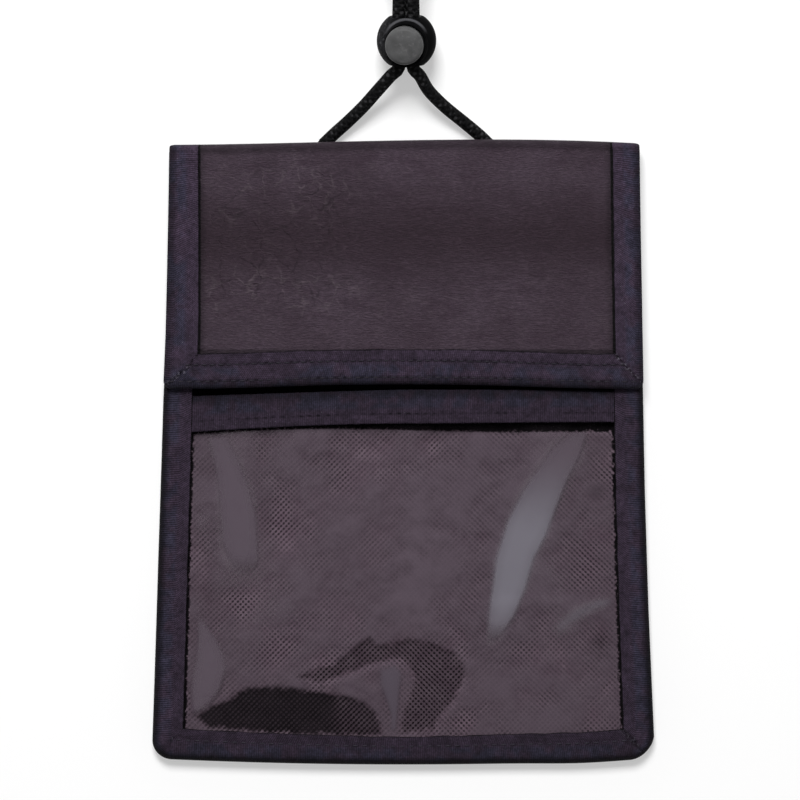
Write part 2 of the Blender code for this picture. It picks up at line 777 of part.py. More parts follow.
def make_body(tape_cloth, fabric, vinyl, fleece):
    low = EDGE_INSET - HALF_LENGTH
    corner = CORNER_RADIUS - EDGE_INSET
    top = HINGE_Y - GAP
    panel("back_panel", fabric, low, top, BACK_PANEL_Z, PANEL, lambda x, y: 0.0, corner)
    panel(
        "front_panel",
        fabric,
        low,
        MOUTH_Y - EDGE_INSET,
        FRONT_PANEL_Z,
        PANEL,
        lambda x, y: pocket_swell(x, y, FRONT_SWELL),
        corner,
    )
    panel(
        "window_sheet",
        vinyl,
        low,
        STRIP_TOP_Y - EDGE_INSET,
        WINDOW_Z,
        VINYL,
        lambda x, y: pocket_swell(x, y, WINDOW_SWELL),
        corner,
    )
    edge_tape(
        "mouth_binding",
        tape_cloth,
        MOUTH_Y,
        MOUTH_WIDTH,
        MOUTH_Z,
        MOUTH_TOP,
        lambda x, y: pocket_swell(x, y, FRONT_SWELL),
    )
    edge_tape(
        "window_binding",
        tape_cloth,
        STRIP_TOP_Y,
        STRIP_WIDTH,
        STRIP_Z,
        BODY_TOP,
        lambda x, y: pocket_swell(x, y, WINDOW_SWELL),
    )
    section = tape_section(0.0, BODY_TOP, BODY_LEG, BODY_LEG)
    binding("body_binding", tape_cloth, section, top, -HALF_LENGTH, CORNER_RADIUS)
    patch("loop_patch", fleece, LOOP_PATCH_Z, lambda x, y: pocket_swell(x, y, FRONT_SWELL))


def make_flap(tape_cloth, leather, lining_cloth, hooks):
    """The flap's pieces hang on an empty on the hinge, so that it turns about the roll's middle."""
    hinge = add_object("flap_hinge", None, None)
    hinge.location = (0, HINGE_Y, HINGE_Z)
    bpy.context.view_layer.update()
    low = HEM_Y + EDGE_INSET
    top = HINGE_Y - GAP
    section = tape_section(FLAP_Z, FLAP_TOP, FLAP_SIDE_LEG, FLAP_HEM_LEG)
    pieces = (
        panel("flap_lining", lining_cloth, low, top, LINING_Z, LINING, flap_swell),
        panel("flap_panel", leather, low, top, LEATHER_Z, LEATHER, flap_swell),
        binding("flap_binding", tape_cloth, section, top, HEM_Y, FLAP_CORNER),
        patch("hook_patch", hooks, HOOK_PATCH_Z, flap_swell),
    )
    for piece in pieces:
        piece.parent = hinge
        piece.matrix_parent_inverse = hinge.matrix_world.inverted()


def make_top_seam(tape_cloth, leather, braid):
    flap_roll(leather)
    binding_roll("fold_binding_left", tape_cloth, -1)
    binding_roll("fold_binding_right", tape_cloth, 1)
    cord_tab("cord_end_left", braid, LEFT_EXIT, LEFT_TAB_ANGLE)
    cord_tab("cord_end_right", braid, RIGHT_EXIT, RIGHT_TAB_ANGLE)


def make_cord(braid, strap):
    loops = hank_points()
    left_end = Vector(loops[0]) - Vector((0, GAP, 0))
    right_end = Vector(loops[-1]) - Vector((0, GAP, 0))
    left = smooth_route(strand(-1, LEFT_EXIT, LEFT_LEG, LEFT_RETURN, left_end), TUBE_POINTS)
    right = smooth_route(strand(1, RIGHT_EXIT, RIGHT_LEG, RIGHT_RETURN, right_end), TUBE_POINTS)
    tube("neck_cord_left", braid, left, CORD_RADIUS, 2)
    tube("neck_cord_right", braid, right, CORD_RADIUS, 2)
    tube("neck_cord_hank", braid, loops, CORD_RADIUS, 1)
    hank_tie(strap)
    lengths = [length_of(points) / MM for points in (left, right, loops)]
    print("cord, mm: left %.1f, right %.1f, hank %.1f" % tuple(lengths), "whole %.1f" % sum(lengths))
    print("least gap in the hank, mm: %.2f" % (least_gap(loops) / MM))


def make_lock(shell, button, steel):
    """The lock's pieces hang on an empty at the crossing of its slot and its bore."""
    frame = add_object("cord_lock", None, None)
    frame.matrix_world = LOCK_PLACE
    lock_housing(shell, frame)
    lock_plunger(button, frame)
    lock_spring(steel, frame)


clear_scene()
PARTS = collection("Credential wallet")
CUTTERS = collection("Cutters", hidden=True)

tape_cloth = material("ribbed tape", (0.030, 0.026, 0.045), 0.75)
leatherette = material("leatherette", (0.058, 0.040, 0.050), 0.55)
dotted_fabric = material("dotted fabric", (0.075, 0.060, 0.072), 0.85)
lining_cloth = material("lining cloth", (0.030, 0.028, 0.034), 0.85)
clear_vinyl = material("clear vinyl", (0.80, 0.80, 0.82), 0.12, alpha=0.25)
fleece = material("fastener tape", (0.012, 0.012, 0.014), 0.95)
braid = material("black braid", (0.010, 0.010, 0.012), 0.80)
black_plastic = material("black plastic", (0.014, 0.014, 0.015), 0.42)
grey_plastic = material("grey plastic", (0.070, 0.070, 0.072), 0.48)
spring_steel = material("spring steel", (0.55, 0.55, 0.56), 0.30, metallic=1.0)

make_body(tape_cloth, dotted_fabric, clear_vinyl, fleece)
make_flap(tape_cloth, leatherette, lining_cloth, fleece)
make_top_seam(tape_cloth, leatherette, braid)
make_cord(braid, fleece)
make_lock(black_plastic, grey_plastic, spring_steel)
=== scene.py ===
"""How the credential wallet looks: ribbed tape, leatherette, dotted cloth behind clear vinyl, a braided
neck cord and its lock. Everything is in metres, in the model's own frame."""

import math

import bmesh
import bpy
import numpy as np
from mathutils import Matrix, Vector


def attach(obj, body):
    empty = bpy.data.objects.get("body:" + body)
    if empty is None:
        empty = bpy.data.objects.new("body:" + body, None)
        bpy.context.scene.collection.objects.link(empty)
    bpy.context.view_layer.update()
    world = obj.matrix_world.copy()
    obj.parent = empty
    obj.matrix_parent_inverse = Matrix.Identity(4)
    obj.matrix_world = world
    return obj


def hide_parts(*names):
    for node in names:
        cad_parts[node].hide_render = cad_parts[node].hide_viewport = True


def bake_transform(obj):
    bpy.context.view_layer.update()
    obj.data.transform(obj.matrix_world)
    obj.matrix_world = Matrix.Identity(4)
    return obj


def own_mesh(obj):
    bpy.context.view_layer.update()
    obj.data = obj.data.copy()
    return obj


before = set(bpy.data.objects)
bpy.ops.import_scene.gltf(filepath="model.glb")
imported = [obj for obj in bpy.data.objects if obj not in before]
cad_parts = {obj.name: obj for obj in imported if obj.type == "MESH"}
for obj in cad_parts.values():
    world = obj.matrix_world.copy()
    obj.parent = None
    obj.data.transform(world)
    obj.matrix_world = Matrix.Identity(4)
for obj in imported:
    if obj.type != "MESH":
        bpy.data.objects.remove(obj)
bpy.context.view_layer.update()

MM = 0.001

# The wallet's shape, as in the model
HALF_LENGTH = 78.7 * MM
HALF_WIDTH = 63.5 * MM
NARROW = 119.0 / 127.0
TAPER_POWER = 1.35
HEM_BOW_POWER = 6
BODY_CORNER = 5.0 * MM
FLAP_CORNER = 2.0 * MM
GAP = 0.25 * MM
TAPE = 0.4 * MM
TAPE_FOLD = 1.5 * MM
FOLD_QUARTER = 1.8 * MM
EDGE_INSET = TAPE_FOLD + GAP
BODY_LEG = 7.8 * MM
FLAP_SIDE_LEG = 7.4 * MM
FLAP_HEM_LEG = 8.9 * MM
HINGE_Y = 76.85 * MM
HINGE_Z = 4.4 * MM
ROLL_RADIUS = 1.85 * MM
TAIL_LENGTH = 10.5 * MM
HEM_Y = 17.0 * MM
STRIP_TOP_Y = 15.5 * MM
STRIP_LEG = 7.4 * MM
MOUTH_Y = 64.0 * MM
MOUTH_WIDTH = 6.0 * MM
LEATHER_EDGE = HALF_WIDTH - FLAP_SIDE_LEG
PATCH_RISE = 13 * MM
PATCH_WIDTH = 16 * MM
PATCH_HALF = 25 * MM

# The flap's left binding is wider than its right by these shares, all of the gain at its hem
WIDER_TOP = 0.07
WIDER_GAIN = 0.135
WIDER_RUN = 52 * MM

# Heights of the layers' outer faces
BACK_PANEL_TOP = 1.05 * MM
MOUTH_LOW = 1.3 * MM
FRONT_PANEL_TOP = 2.35 * MM
MOUTH_TOP = 3.0 * MM
LOOP_TOP = 3.3 * MM
STRIP_LOW = 2.6 * MM
VINYL_TOP = 3.55 * MM
BODY_TOP = 4.2 * MM
FLAP_LOW = 4.45 * MM
HOOK_TOP = 4.85 * MM
LINING_TOP = 5.4 * MM
LEATHER_TOP = 6.25 * MM
FLAP_TOP = 6.9 * MM

# Thicknesses
LEATHER = 0.6 * MM
FASTENER = 0.7 * MM
THIN_SHEET = 0.3 * MM

# Sewing, each row at a share of its tape's leg
STITCH_PITCH = 2.35 * MM
STITCH_LENGTH = 1.75 * MM
THREAD = 0.2 * MM
FLAP_ROWS = (0.04, 0.61)
BODY_ROWS = (0.57,)
STRIP_ROW = 0.64

# The cord's route, as in the model
CORD_DIAMETER = 3.2 * MM
CORD_RADIUS = CORD_DIAMETER / 2
CORD_Z = 1.8 * MM
LEFT_EXIT = (-19.6 * MM, 79.4 * MM)
RIGHT_EXIT = (20.9 * MM, 79.4 * MM)
LEFT_TAB_ANGLE = math.radians(42)
RIGHT_TAB_ANGLE = math.radians(-51)
STRAND_SPACING = 3.5 * MM
LOCK_REACH = 6.35 * MM
LOCK_TRAVEL = 8.0 * MM
LOCK_TILT = math.radians(10)
LOCK_ROLL = math.radians(-4.2)
LOCK_Z = 0.2 * MM + 9.0 * MM * math.cos(LOCK_TILT) + 5.7 * MM * math.sin(LOCK_TILT)
LOCK_PLACE = (
    Matrix.Translation((0.6 * MM, 104.2 * MM, LOCK_Z))
    @ Matrix.Rotation(LOCK_TILT, 4, "X")
    @ Matrix.Rotation(LOCK_ROLL, 4, "Y")
)
LEFT_LEG = MM * np.array([
    (-17.6, 81.3, 1.9), (-14.2, 84.3, 2.7), (-10.2, 88.1, 4.2), (-6.6, 92.0, 6.2), (-3.3, 95.6, 7.9),
])
RIGHT_LEG = MM * np.array([
    (19.0, 81.2, 1.9), (15.2, 84.3, 2.7), (10.4, 88.1, 4.2), (6.4, 92.0, 6.2), (4.2, 95.6, 7.9),
])
LEFT_RETURN = MM * np.array([
    (-2.4, 124.0, 12.2), (-5.7, 129.5, 9.2), (-10.2, 135.0, 5.2), (-14.2, 141.0, 2.5), (-16.5, 147.5, 1.85),
])
RIGHT_RETURN = MM * np.array([
    (3.4, 124.0, 12.5), (6.3, 129.5, 10.6), (10.2, 135.0, 8.2), (13.2, 141.0, 6.4), (14.7, 147.5, 5.6),
])
HANK_START = 160.0 * MM
HANK_RUN = 48.0 * MM
HANK_TURNS = 4.75
HANK_REVERSAL = 2.625
HANK_INNER_RADIUS = 6.4 * MM
HANK_STEP = 3.95 * MM
HANK_LAYER = 3.65 * MM
HANK_WAIST_RUN = 45.0 * MM
TIE_WIDTH = 9.0 * MM
TIE_THICKNESS = 0.8 * MM
TIE_CORNER = 2.4 * MM

# The lock's spring, and its collar, as its rim catches the light
COIL_TURNS = 3
COIL_RADIUS = 3.6 * MM
COIL_WIRE = 0.2 * MM
COIL_LOW = -7.15 * MM
COIL_HEIGHT = 3.1 * MM
COLLAR_MIDDLE = (0.65 * MM, 103.9 * MM)
COLLAR_RADIUS = 5.5 * MM

# Camera and light
CAMERA_PLACE = (-0.9 * MM, 13.5 * MM, 1205 * MM)
CAMERA_LENS = 212.6
STRIP_LIGHT_X = 0.275
NEAR_GLOW, FAR_GLOW = 0.42, 1.0
NEAR_GROUND, FAR_GROUND = 0.35, 1.2

# Colours
SLATE, PURPLE = (0.0284, 0.0250, 0.0432), (0.0357, 0.0227, 0.0378)
LINT, KNOTTED = (0.22, 0.21, 0.24), (0.16, 0.15, 0.18)
LEATHER_DARK, LEATHER_LIGHT = (0.0440, 0.0298, 0.0415), (0.0550, 0.0385, 0.0530)
LEATHER_WORN, LEATHER_RUBBED = (0.074, 0.056, 0.068), (0.112, 0.090, 0.102)
LEATHER_DUSK, LEATHER_MIDDLE = (0.0310, 0.0185, 0.0285), (0.0330, 0.0200, 0.0285)
CLOTH_DARK, CLOTH_LIGHT = (0.128, 0.085, 0.114), (0.205, 0.149, 0.186)
# The second cloth colour on the next line is the black of painted shade.
CLOTH_SUNK, SHADOW_BLACK = (0.0065, 0.0045, 0.0070), (0.0010, 0.0008, 0.0012)
VINYL_MILK, VINYL_CLOUD = (0.094, 0.070, 0.089), (0.124, 0.094, 0.119)
# Both vinyl colours on the next line are painted reflection over its creases.
VINYL_GLARE, VINYL_BRIGHT_GLARE = (0.076, 0.054, 0.074), (0.152, 0.141, 0.171)
LINING, PILE = (0.030, 0.028, 0.034), (0.014, 0.014, 0.016)
# The second braid colour is a painted highlight on the crowns of the strands.
BRAID, BRAID_HIGHLIGHT = (0.0022, 0.0022, 0.0026), (0.0300, 0.0295, 0.0315)
BLACK_PLASTIC, GREY_PLASTIC = (0.0034, 0.0034, 0.0037), (0.074, 0.074, 0.075)
STEEL_DARK, STEEL_LIGHT = (0.48, 0.48, 0.49), (0.62, 0.62, 0.63)
THREAD_TOP, THREAD_SUNK = (0.013, 0.010, 0.017), (0.019, 0.015, 0.024)


def aim_camera():
    """Straight above, with the wallet's top edge up, a long lens as in the photograph."""
    data = bpy.data.cameras.new("camera")
    data.sensor_width, data.lens = 36, CAMERA_LENS
    data.clip_start, data.clip_end = 0.05, 10
    camera = bpy.data.objects.new("camera", data)
    camera.location = CAMERA_PLACE
    bpy.context.scene.collection.objects.link(camera)
    bpy.context.scene.camera = camera


# Shapes as formulas


def grid(*parts):
    """An array of points from one array for each of their parts."""
    return np.stack(np.broadcast_arrays(*parts), axis=-1)


def smooth(share):
    """0 to 1 with level ends: 3s^2 - 2s^3."""
    share = np.clip(share, 0, 1)
    return share * share * (3 - 2 * share)


def bump(distance, width):
    """A bell, exp(-(distance / width)^2)."""
    return np.exp(-((distance / width) ** 2))


def waves(x, y, pitch, seed):
    """Soft unevenness, about -1 to 1: a sum of five sine waves whose directions and phases follow seed."""
    chance = np.random.default_rng(seed)
    total = 0
    turns, phases = chance.uniform(0, math.tau, 5), chance.uniform(0, math.tau, 5)
    for turn, phase, scale in zip(turns, phases, chance.uniform(0.7, 1.6, 5)):
        along = x * math.cos(turn) + y * math.sin(turn)
        total = total + np.sin(math.tau * along / (pitch * scale) + phase) / 2.4
    return total


def near_line(x, y, start, end):
    """Distance from the segment start to end."""
    run = np.subtract(end, start)
    share = np.clip(((x - start[0]) * run[0] + (y - start[1]) * run[1]) / (run @ run), 0, 1)
    return np.hypot(x - start[0] - share * run[0], y - start[1] - share * run[1])


def side_shift(x, y):
    """How far outward each long edge has pulled, from the photograph: left, then right."""
    left = np.interp(y, np.array([-78.7, -27, 13, 30, 78.7]) * MM, np.array([0.62, 0.62, 0.46, 0.12, 0]) * MM)
    right = np.interp(y, np.array([-78.7, -76.4, -73, -62, -40, -10, 13, 40, 78.7]) * MM,
                      np.array([-1.0, -0.5, 0.5, 0.40, 0.17, 0.12, 0.30, 0.44, 0.46]) * MM)
    return np.where(x < 0, left, right)


def left_wider(y):
    """How much wider the flap's left binding is than its right, more so towards the hem."""
    return 1 + WIDER_TOP + WIDER_GAIN * np.clip((HALF_LENGTH - y) / WIDER_RUN, 0, 1)


def width_at(x, y):
    """The wallet's width there, as a share of its cut width."""
    from_top = np.clip((HALF_LENGTH - y) / (2 * HALF_LENGTH), 0, 1)
    return NARROW + (1 - NARROW) * from_top**TAPER_POWER + side_shift(x, y) / HALF_WIDTH


def worn(x, y):
    """The cut shape narrowed towards the top edge, bowed at the bottom, and pulled up along the top."""
    from_top = np.clip((HALF_LENGTH - y) / (2 * HALF_LENGTH), 0, 1)
    across = (x / HALF_WIDTH) ** 2
    bow = (1.55 * across - 0.6 - 0.45 * bump(x - 46 * MM, 13 * MM)) * MM * from_top**HEM_BOW_POWER
    pulled = (0.8 + x / HALF_WIDTH) * (1 - across) - 0.35 * across * (x < 0)
    pulled = pulled * MM * smooth((y - 55 * MM) / (20 * MM))
    return x * width_at(x, y), y + bow + pulled


def swell(x, y, height, low, high=None):
    """The rise of a sheet inside its bindings, (1 - x^2)^2 across, easing in from each bound edge."""
    across = np.clip(1 - (x / (HALF_WIDTH - BODY_LEG)) ** 2, 0, 1) ** 2
    along = smooth((y - low) / (26 * MM))
    if high is not None:
        along = along * smooth((high - y) / (26 * MM))
    return height * across * along


def pocket_swell(x, y, height):
    """The pocket's front, fullest in the middle of its window."""
    return swell(x, y, height, BODY_LEG - HALF_LENGTH)


def flap_swell(x, y):
    """The flap, between its hem and the roll."""
    return swell(x, y, 0.4 * MM, HEM_Y + FLAP_HEM_LEG, HINGE_Y)


def lengths_along(points):
    """Distance travelled at each point of a path."""
    steps = np.linalg.norm(np.diff(points, axis=0), axis=1)
    return np.concatenate([[0], np.cumsum(steps)])


def smooth_route(points, step):
    """Evenly spaced points on the Catmull-Rom curve through the given ones."""
    route = np.array(points, float)
    knots = np.vstack([2 * route[0] - route[1], route, 2 * route[-1] - route[-2]])
    share = np.linspace(0, 1, 26, endpoint=False)[:, None]
    spans = [
        (2 * b + (c - a) * share + (2 * a - 5 * b + 4 * c - d) * share**2
         + (3 * b - a - 3 * c + d) * share**3) / 2
        for a, b, c, d in zip(knots, knots[1:], knots[2:], knots[3:])
    ]
    return even_path(np.vstack([*spans, route[-1:]]), step)


def even_path(points, step):
    """Points a step apart along straight lines through the given ones."""
    travelled = lengths_along(points)
    even = np.linspace(0, travelled[-1], round(travelled[-1] / step) + 1)
    return np.stack([np.interp(even, travelled, points[:, axis]) for axis in range(3)], axis=1)


def lock_point(x, y, z=0.0):
    """A place given in the lock's frame: x across the strands, y along them, z out of its button."""
    return tuple(LOCK_PLACE @ Vector((x, y, z)))


def strand(side, exit_place, leg, back, end):
    """One strand's route from its seam to the hank, straight where it runs in the lock and past it."""
    across = side * STRAND_SPACING / 2
    reaches = (-LOCK_REACH, 0.0, LOCK_REACH, LOCK_REACH + LOCK_TRAVEL)
    through = [lock_point(across, reach) for reach in reaches]
    return [(*exit_place, CORD_Z), *leg, *through, *back, end]


def hank_path():
    """The hank's loops: two runs joined by half circles, their half width falling at a steady rate to
    the reversal and growing from there, the upper layer on the lower, drawn in and lifted at the tie."""
    turns = np.linspace(0, HANK_TURNS, round(HANK_TURNS * 120) + 1)
    radius = HANK_INNER_RADIUS + HANK_STEP * np.abs(turns - HANK_REVERSAL)
    quarter = np.floor(turns * 4 + 1e-9)
    share = turns * 4 - quarter
    turn = math.pi * share
    part = quarter % 4
    far = HANK_START + HANK_RUN
    x = np.select([part == 0, part == 1, part == 2],
                  [-radius, -radius * np.cos(turn), radius], radius * np.cos(turn))
    y = np.select([part == 0, part == 1, part == 2],
                  [HANK_START + HANK_RUN * share, far + radius * np.sin(turn),
                   far - HANK_RUN * share], HANK_START - radius * np.sin(turn))
    tied = TIE_WIDTH / 2 + GAP
    off_waist = np.abs(y - HANK_START - HANK_RUN / 2)
    waist = smooth(1 - (off_waist - tied) / (HANK_WAIST_RUN / 2 - tied))
    climb = smooth((turns - HANK_REVERSAL + 1 / 8) * 4)
    x = x - np.sign(x) * (HANK_INNER_RADIUS - HANK_STEP / 2) * waist
    z = CORD_Z + (TIE_THICKNESS + GAP) * waist + HANK_LAYER * climb
    return grid(x, y, z)


def cord_path():
    """The whole cord, from one sewn end to the other, with 1.2 mm of each inside its flattened end."""
    loops = hank_path()
    left = smooth_route(strand(-1, LEFT_EXIT, LEFT_LEG, LEFT_RETURN, loops[0]), MM)
    right = smooth_route(strand(1, RIGHT_EXIT, RIGHT_LEG, RIGHT_RETURN, loops[-1]), MM)
    starts = [side[0] - (side[1] - side[0]) / np.linalg.norm(side[1] - side[0]) * 1.2 * MM
              for side in (left, right)]
    return np.vstack([starts[:1], left[:-1], loops, right[::-1][1:], starts[1:]])


# Meshes from arrays


def make_mesh(name, points, faces, uv=None, finish=None):
    """A smooth-shaded piece from an array of points, quads or triangles, and a place in UV for each point."""
    mesh = bpy.data.meshes.new(name)
    mesh.from_pydata(points.reshape(-1, 3), [], list(faces))
    mesh.shade_smooth()
    if uv is not None:
        corner = np.empty(len(mesh.loops), np.int32)
        mesh.loops.foreach_get("vertex_index", corner)
        layer = mesh.uv_layers.new(name="UVMap")
        layer.uv.foreach_set("vector", uv.reshape(-1, 2)[corner].astype(np.float32).ravel())
    piece = bpy.data.objects.new(name, mesh)
    bpy.context.scene.collection.objects.link(piece)
    if finish is not None:
        mesh.materials.append(finish)
    return piece


def grid_faces(rows, columns, closed=False):
    """Quads of a grid whose points run along columns first; closed joins its last column to its first."""
    row = np.arange(rows - 1)[:, None]
    column = np.arange(columns if closed else columns - 1)[None]
    after = (column + 1) % columns
    quads = np.stack([row * columns + column, (row + 1) * columns + column,
                      (row + 1) * columns + after, row * columns + after], axis=-1)
    return quads.reshape(-1, 4)


def settle(piece):
    """The piece with its modifiers made part of its mesh."""
    bpy.context.view_layer.update()
    graph = bpy.context.evaluated_depsgraph_get()
    solid = bpy.data.meshes.new_from_object(piece.evaluated_get(graph))
    piece.modifiers.clear()
    piece.data = solid
    return piece


def skin(name, points, uv, thickness, finish, flip=False):
    """A sheet from its outer face: a grid of points, given its thickness inwards."""
    faces = grid_faces(*points.shape[:2])
    if flip:
        faces = faces[:, ::-1]
    piece = make_mesh(name, points, faces.tolist(), uv, finish)
    wall = piece.modifiers.new("thickness", "SOLIDIFY")
    wall.thickness = thickness
    wall.offset = -1
    return settle(piece)


def frames_along(path):
    """Two directions across a path at each of its points, level and square to it, without sudden turns."""
    ahead = np.gradient(path, axis=0)
    ahead /= np.linalg.norm(ahead, axis=1, keepdims=True)
    aside = np.cross(ahead, (0, 0, 1))
    aside /= np.linalg.norm(aside, axis=1, keepdims=True)
    return aside, np.cross(aside, ahead)


def tube(name, path, radius, sides, finish, squash=None):
    """A closed tube: circles of the given radius square to the path. UV is the way round, as a share, and
    the distance along. squash gives each circle's width and height as shares."""
    aside, over = frames_along(path)
    turn = np.linspace(0, math.tau, sides + 1)
    wide, high = squash if squash is not None else (np.ones(len(path)), np.ones(len(path)))
    ring = (aside[:, None] * (np.cos(turn)[None, :, None] * wide[:, None, None])
            + over[:, None] * (np.sin(turn)[None, :, None] * high[:, None, None]))
    points = path[:, None] + radius * ring
    caps = (np.repeat(path[:1, None], sides + 1, axis=1), np.repeat(path[-1:, None], sides + 1, axis=1))
    points = np.concatenate([caps[0], points, caps[1]])
    along = lengths_along(path)
    along = np.concatenate([along[:1], along, along[-1:]])
    uv = grid(turn[None] / math.tau, along[:, None])
    piece = make_mesh(name, points, grid_faces(*points.shape[:2])[:, ::-1].tolist(), uv, finish)
    weld(piece)
    return piece


def weld(piece, outward=False):
    """Joins points that lie together; outward turns every face to the outside."""
    whole = bmesh.new()
    whole.from_mesh(piece.data)
    bmesh.ops.remove_doubles(whole, verts=whole.verts, dist=0.0005 * MM)
    bmesh.ops.dissolve_degenerate(whole, edges=whole.edges, dist=0.0005 * MM)
    if outward:
        bmesh.ops.recalc_face_normals(whole, faces=whole.faces)
    whole.to_mesh(piece.data)
    whole.free()
    piece.data.shade_smooth()


def stitches(name, places, ahead, up, finish):
    """Short threads, one at each place: a capsule's rings, thin at both ends, laid along ahead."""
    across = np.cross(up, ahead)
    count = 6
    turn = np.linspace(0, math.tau, count, endpoint=False)
    along = np.array([-0.92, -0.6, 0, 0.6, 0.92]) * STITCH_LENGTH / 2
    fat = np.array([0.45, 0.9, 1, 0.9, 0.45]) * THREAD
    sink = np.array([-0.22, -0.05, 0, -0.05, -0.22]) * MM
    ring = (across[:, None, None] * (np.cos(turn) * fat[:, None])[None, :, :, None]
            + up[:, None, None] * (np.sin(turn) * fat[:, None] + sink[:, None])[None, :, :, None]
            + ahead[:, None, None] * along[None, :, None, None])
    body = (places[:, None, None] + ring).reshape(len(places), -1, 3)
    ends = [places + ahead * STITCH_LENGTH / 2 * side - up * 0.3 * MM for side in (-1, 1)]
    points = np.concatenate([body, ends[0][:, None], ends[1][:, None]], axis=1)
    sides = grid_faces(len(along), count, closed=True)
    around = np.arange(count)
    after = (around + 1) % count
    end = len(along) * count
    first = grid(end, after, around)
    last = grid(end + 1, end - count + around, end - count + after)
    shift = (end + 2) * np.arange(len(places))[:, None, None]
    quads = (sides[None, :, ::-1] + shift).reshape(-1, 4)
    triangles = (np.concatenate([first, last])[None] + shift).reshape(-1, 3)
    return make_mesh(name, points, quads.tolist() + triangles.tolist(), None, finish)


# Materials


def add_node(tree, kind, settings, values):
    """A shader node, its own settings made, and each input linked to a socket or set to a value."""
    node = tree.nodes.new("ShaderNode" + kind)
    for name, value in settings.items():
        setattr(node, name, value)
    for name, value in values.items():
        connect(tree, node.inputs[name], value)
    return node


def connect(tree, socket, value):
    """Links an input to a socket, or sets it to a value."""
    if isinstance(value, bpy.types.NodeSocket):
        tree.links.new(value, socket)
    else:
        socket.default_value = value


class Wire:
    """A shader value. Arithmetic on it adds Math nodes."""

    def __init__(self, finish, socket):
        self.finish = finish
        self.socket = socket

    def math(self, operation, *others):
        """A Math node's result, with this value first."""
        return self.finish.add("Math", {"operation": operation}, dict(enumerate([self, *others])))

    def __add__(self, other):
        return self.math("ADD", other)

    def __sub__(self, other):
        return self.math("SUBTRACT", other)

    def __mul__(self, other):
        return self.math("MULTIPLY", other)

    def __truediv__(self, other):
        return self.math("DIVIDE", other)

    def __pow__(self, other):
        return self.math("POWER", other)

    def __rsub__(self, other):
        return self.finish.add("Math", {"operation": "SUBTRACT"}, {0: other, 1: self})

    __radd__ = __add__
    __rmul__ = __mul__

    def step(self, low, high):
        """0 below low to 1 above high, eased."""
        made = {"interpolation_type": "SMOOTHSTEP", "clamp": True}
        return self.finish.add("MapRange", made, {"Value": self, "From Min": low, "From Max": high})

    def wave(self, pitch):
        """A sine of 0 to 1 with the given pitch."""
        return (self * (math.tau / pitch)).math("SINE") * 0.5 + 0.5


def bare(value):
    """The socket of a Wire, and any other value as it is."""
    return value.socket if isinstance(value, Wire) else value


class Finish:
    """A material of one Principled shader and the nodes that vary it."""

    def __init__(self, name, roughness, **settings):
        self.material = bpy.data.materials.new(name)
        self.material.use_nodes = True
        self.tree = self.material.node_tree
        self.shader = self.tree.nodes["Principled BSDF"]
        self.put("Roughness", roughness)
        for socket, value in settings.items():
            self.put(socket.replace("_", " ").title().replace("Ior", "IOR"), value)
        self.place = self.add("TexCoord", {}, {}, "Object")

    def add(self, kind, settings, values, output=0):
        """A new node's output."""
        sockets = {name: bare(value) for name, value in values.items()}
        return Wire(self, add_node(self.tree, kind, settings, sockets).outputs[output])

    def put(self, name, value):
        """Gives one of the shader's inputs its value."""
        connect(self.tree, self.shader.inputs[name], bare(value))

    def first_two(self, vector):
        """A vector's x and y."""
        parts = add_node(self.tree, "SeparateXYZ", {}, {0: bare(vector)})
        return Wire(self, parts.outputs[0]), Wire(self, parts.outputs[1])

    def along_surface(self):
        """The piece's UV: metres along it and across it."""
        return self.first_two(self.add("UVMap", {"uv_map": "UVMap"}, {}))

    def axes(self):
        """The x and y of each place."""
        return self.first_two(self.place)

    def marked(self, name):
        """A value that the mesh carries at its points."""
        return self.add("Attribute", {"attribute_name": name}, {}, "Fac")

    def noise(self, size, detail=3.0, where=None, roughness=0.5):
        """Cloudy unevenness about 0.5, with features of the given size."""
        values = {"Vector": where or self.place, "Scale": 1 / size, "Detail": detail,
                  "Roughness": roughness}
        return self.add("TexNoise", {}, values)

    def cells(self, size, where=None, feature="F1"):
        """Distance within cells of the given size, from their points or their edges."""
        values = {"Vector": where or self.place, "Scale": 1 / size}
        return self.add("TexVoronoi", {"feature": feature}, values)

    def mix(self, share, low, high):
        """From colour low to colour high."""
        low, high = [c if isinstance(c, Wire) else (*c, 1.0) for c in (low, high)]
        made = {"data_type": "RGBA", "clamp_factor": True}
        return self.add("Mix", made, {0: share, 6: low, 7: high}, 2)

    def shade(self, colour, amount):
        """A colour times a value."""
        made = {"data_type": "RGBA", "blend_type": "MULTIPLY", "clamp_factor": True}
        colour = colour if isinstance(colour, Wire) else (*colour, 1.0)
        return self.add("Mix", made, {0: 1.0, 6: colour, 7: amount}, 2)

    def made(self, colour, height=None, depth=0.0):
        """The material, given its colour and a bump from a height of 0 to 1, depth metres deep."""
        self.put("Base Color", colour)
        if height is not None:
            self.put("Normal", self.add("Bump", {}, {"Height": height, "Distance": depth, "Strength": 1.0}))
        return self.material


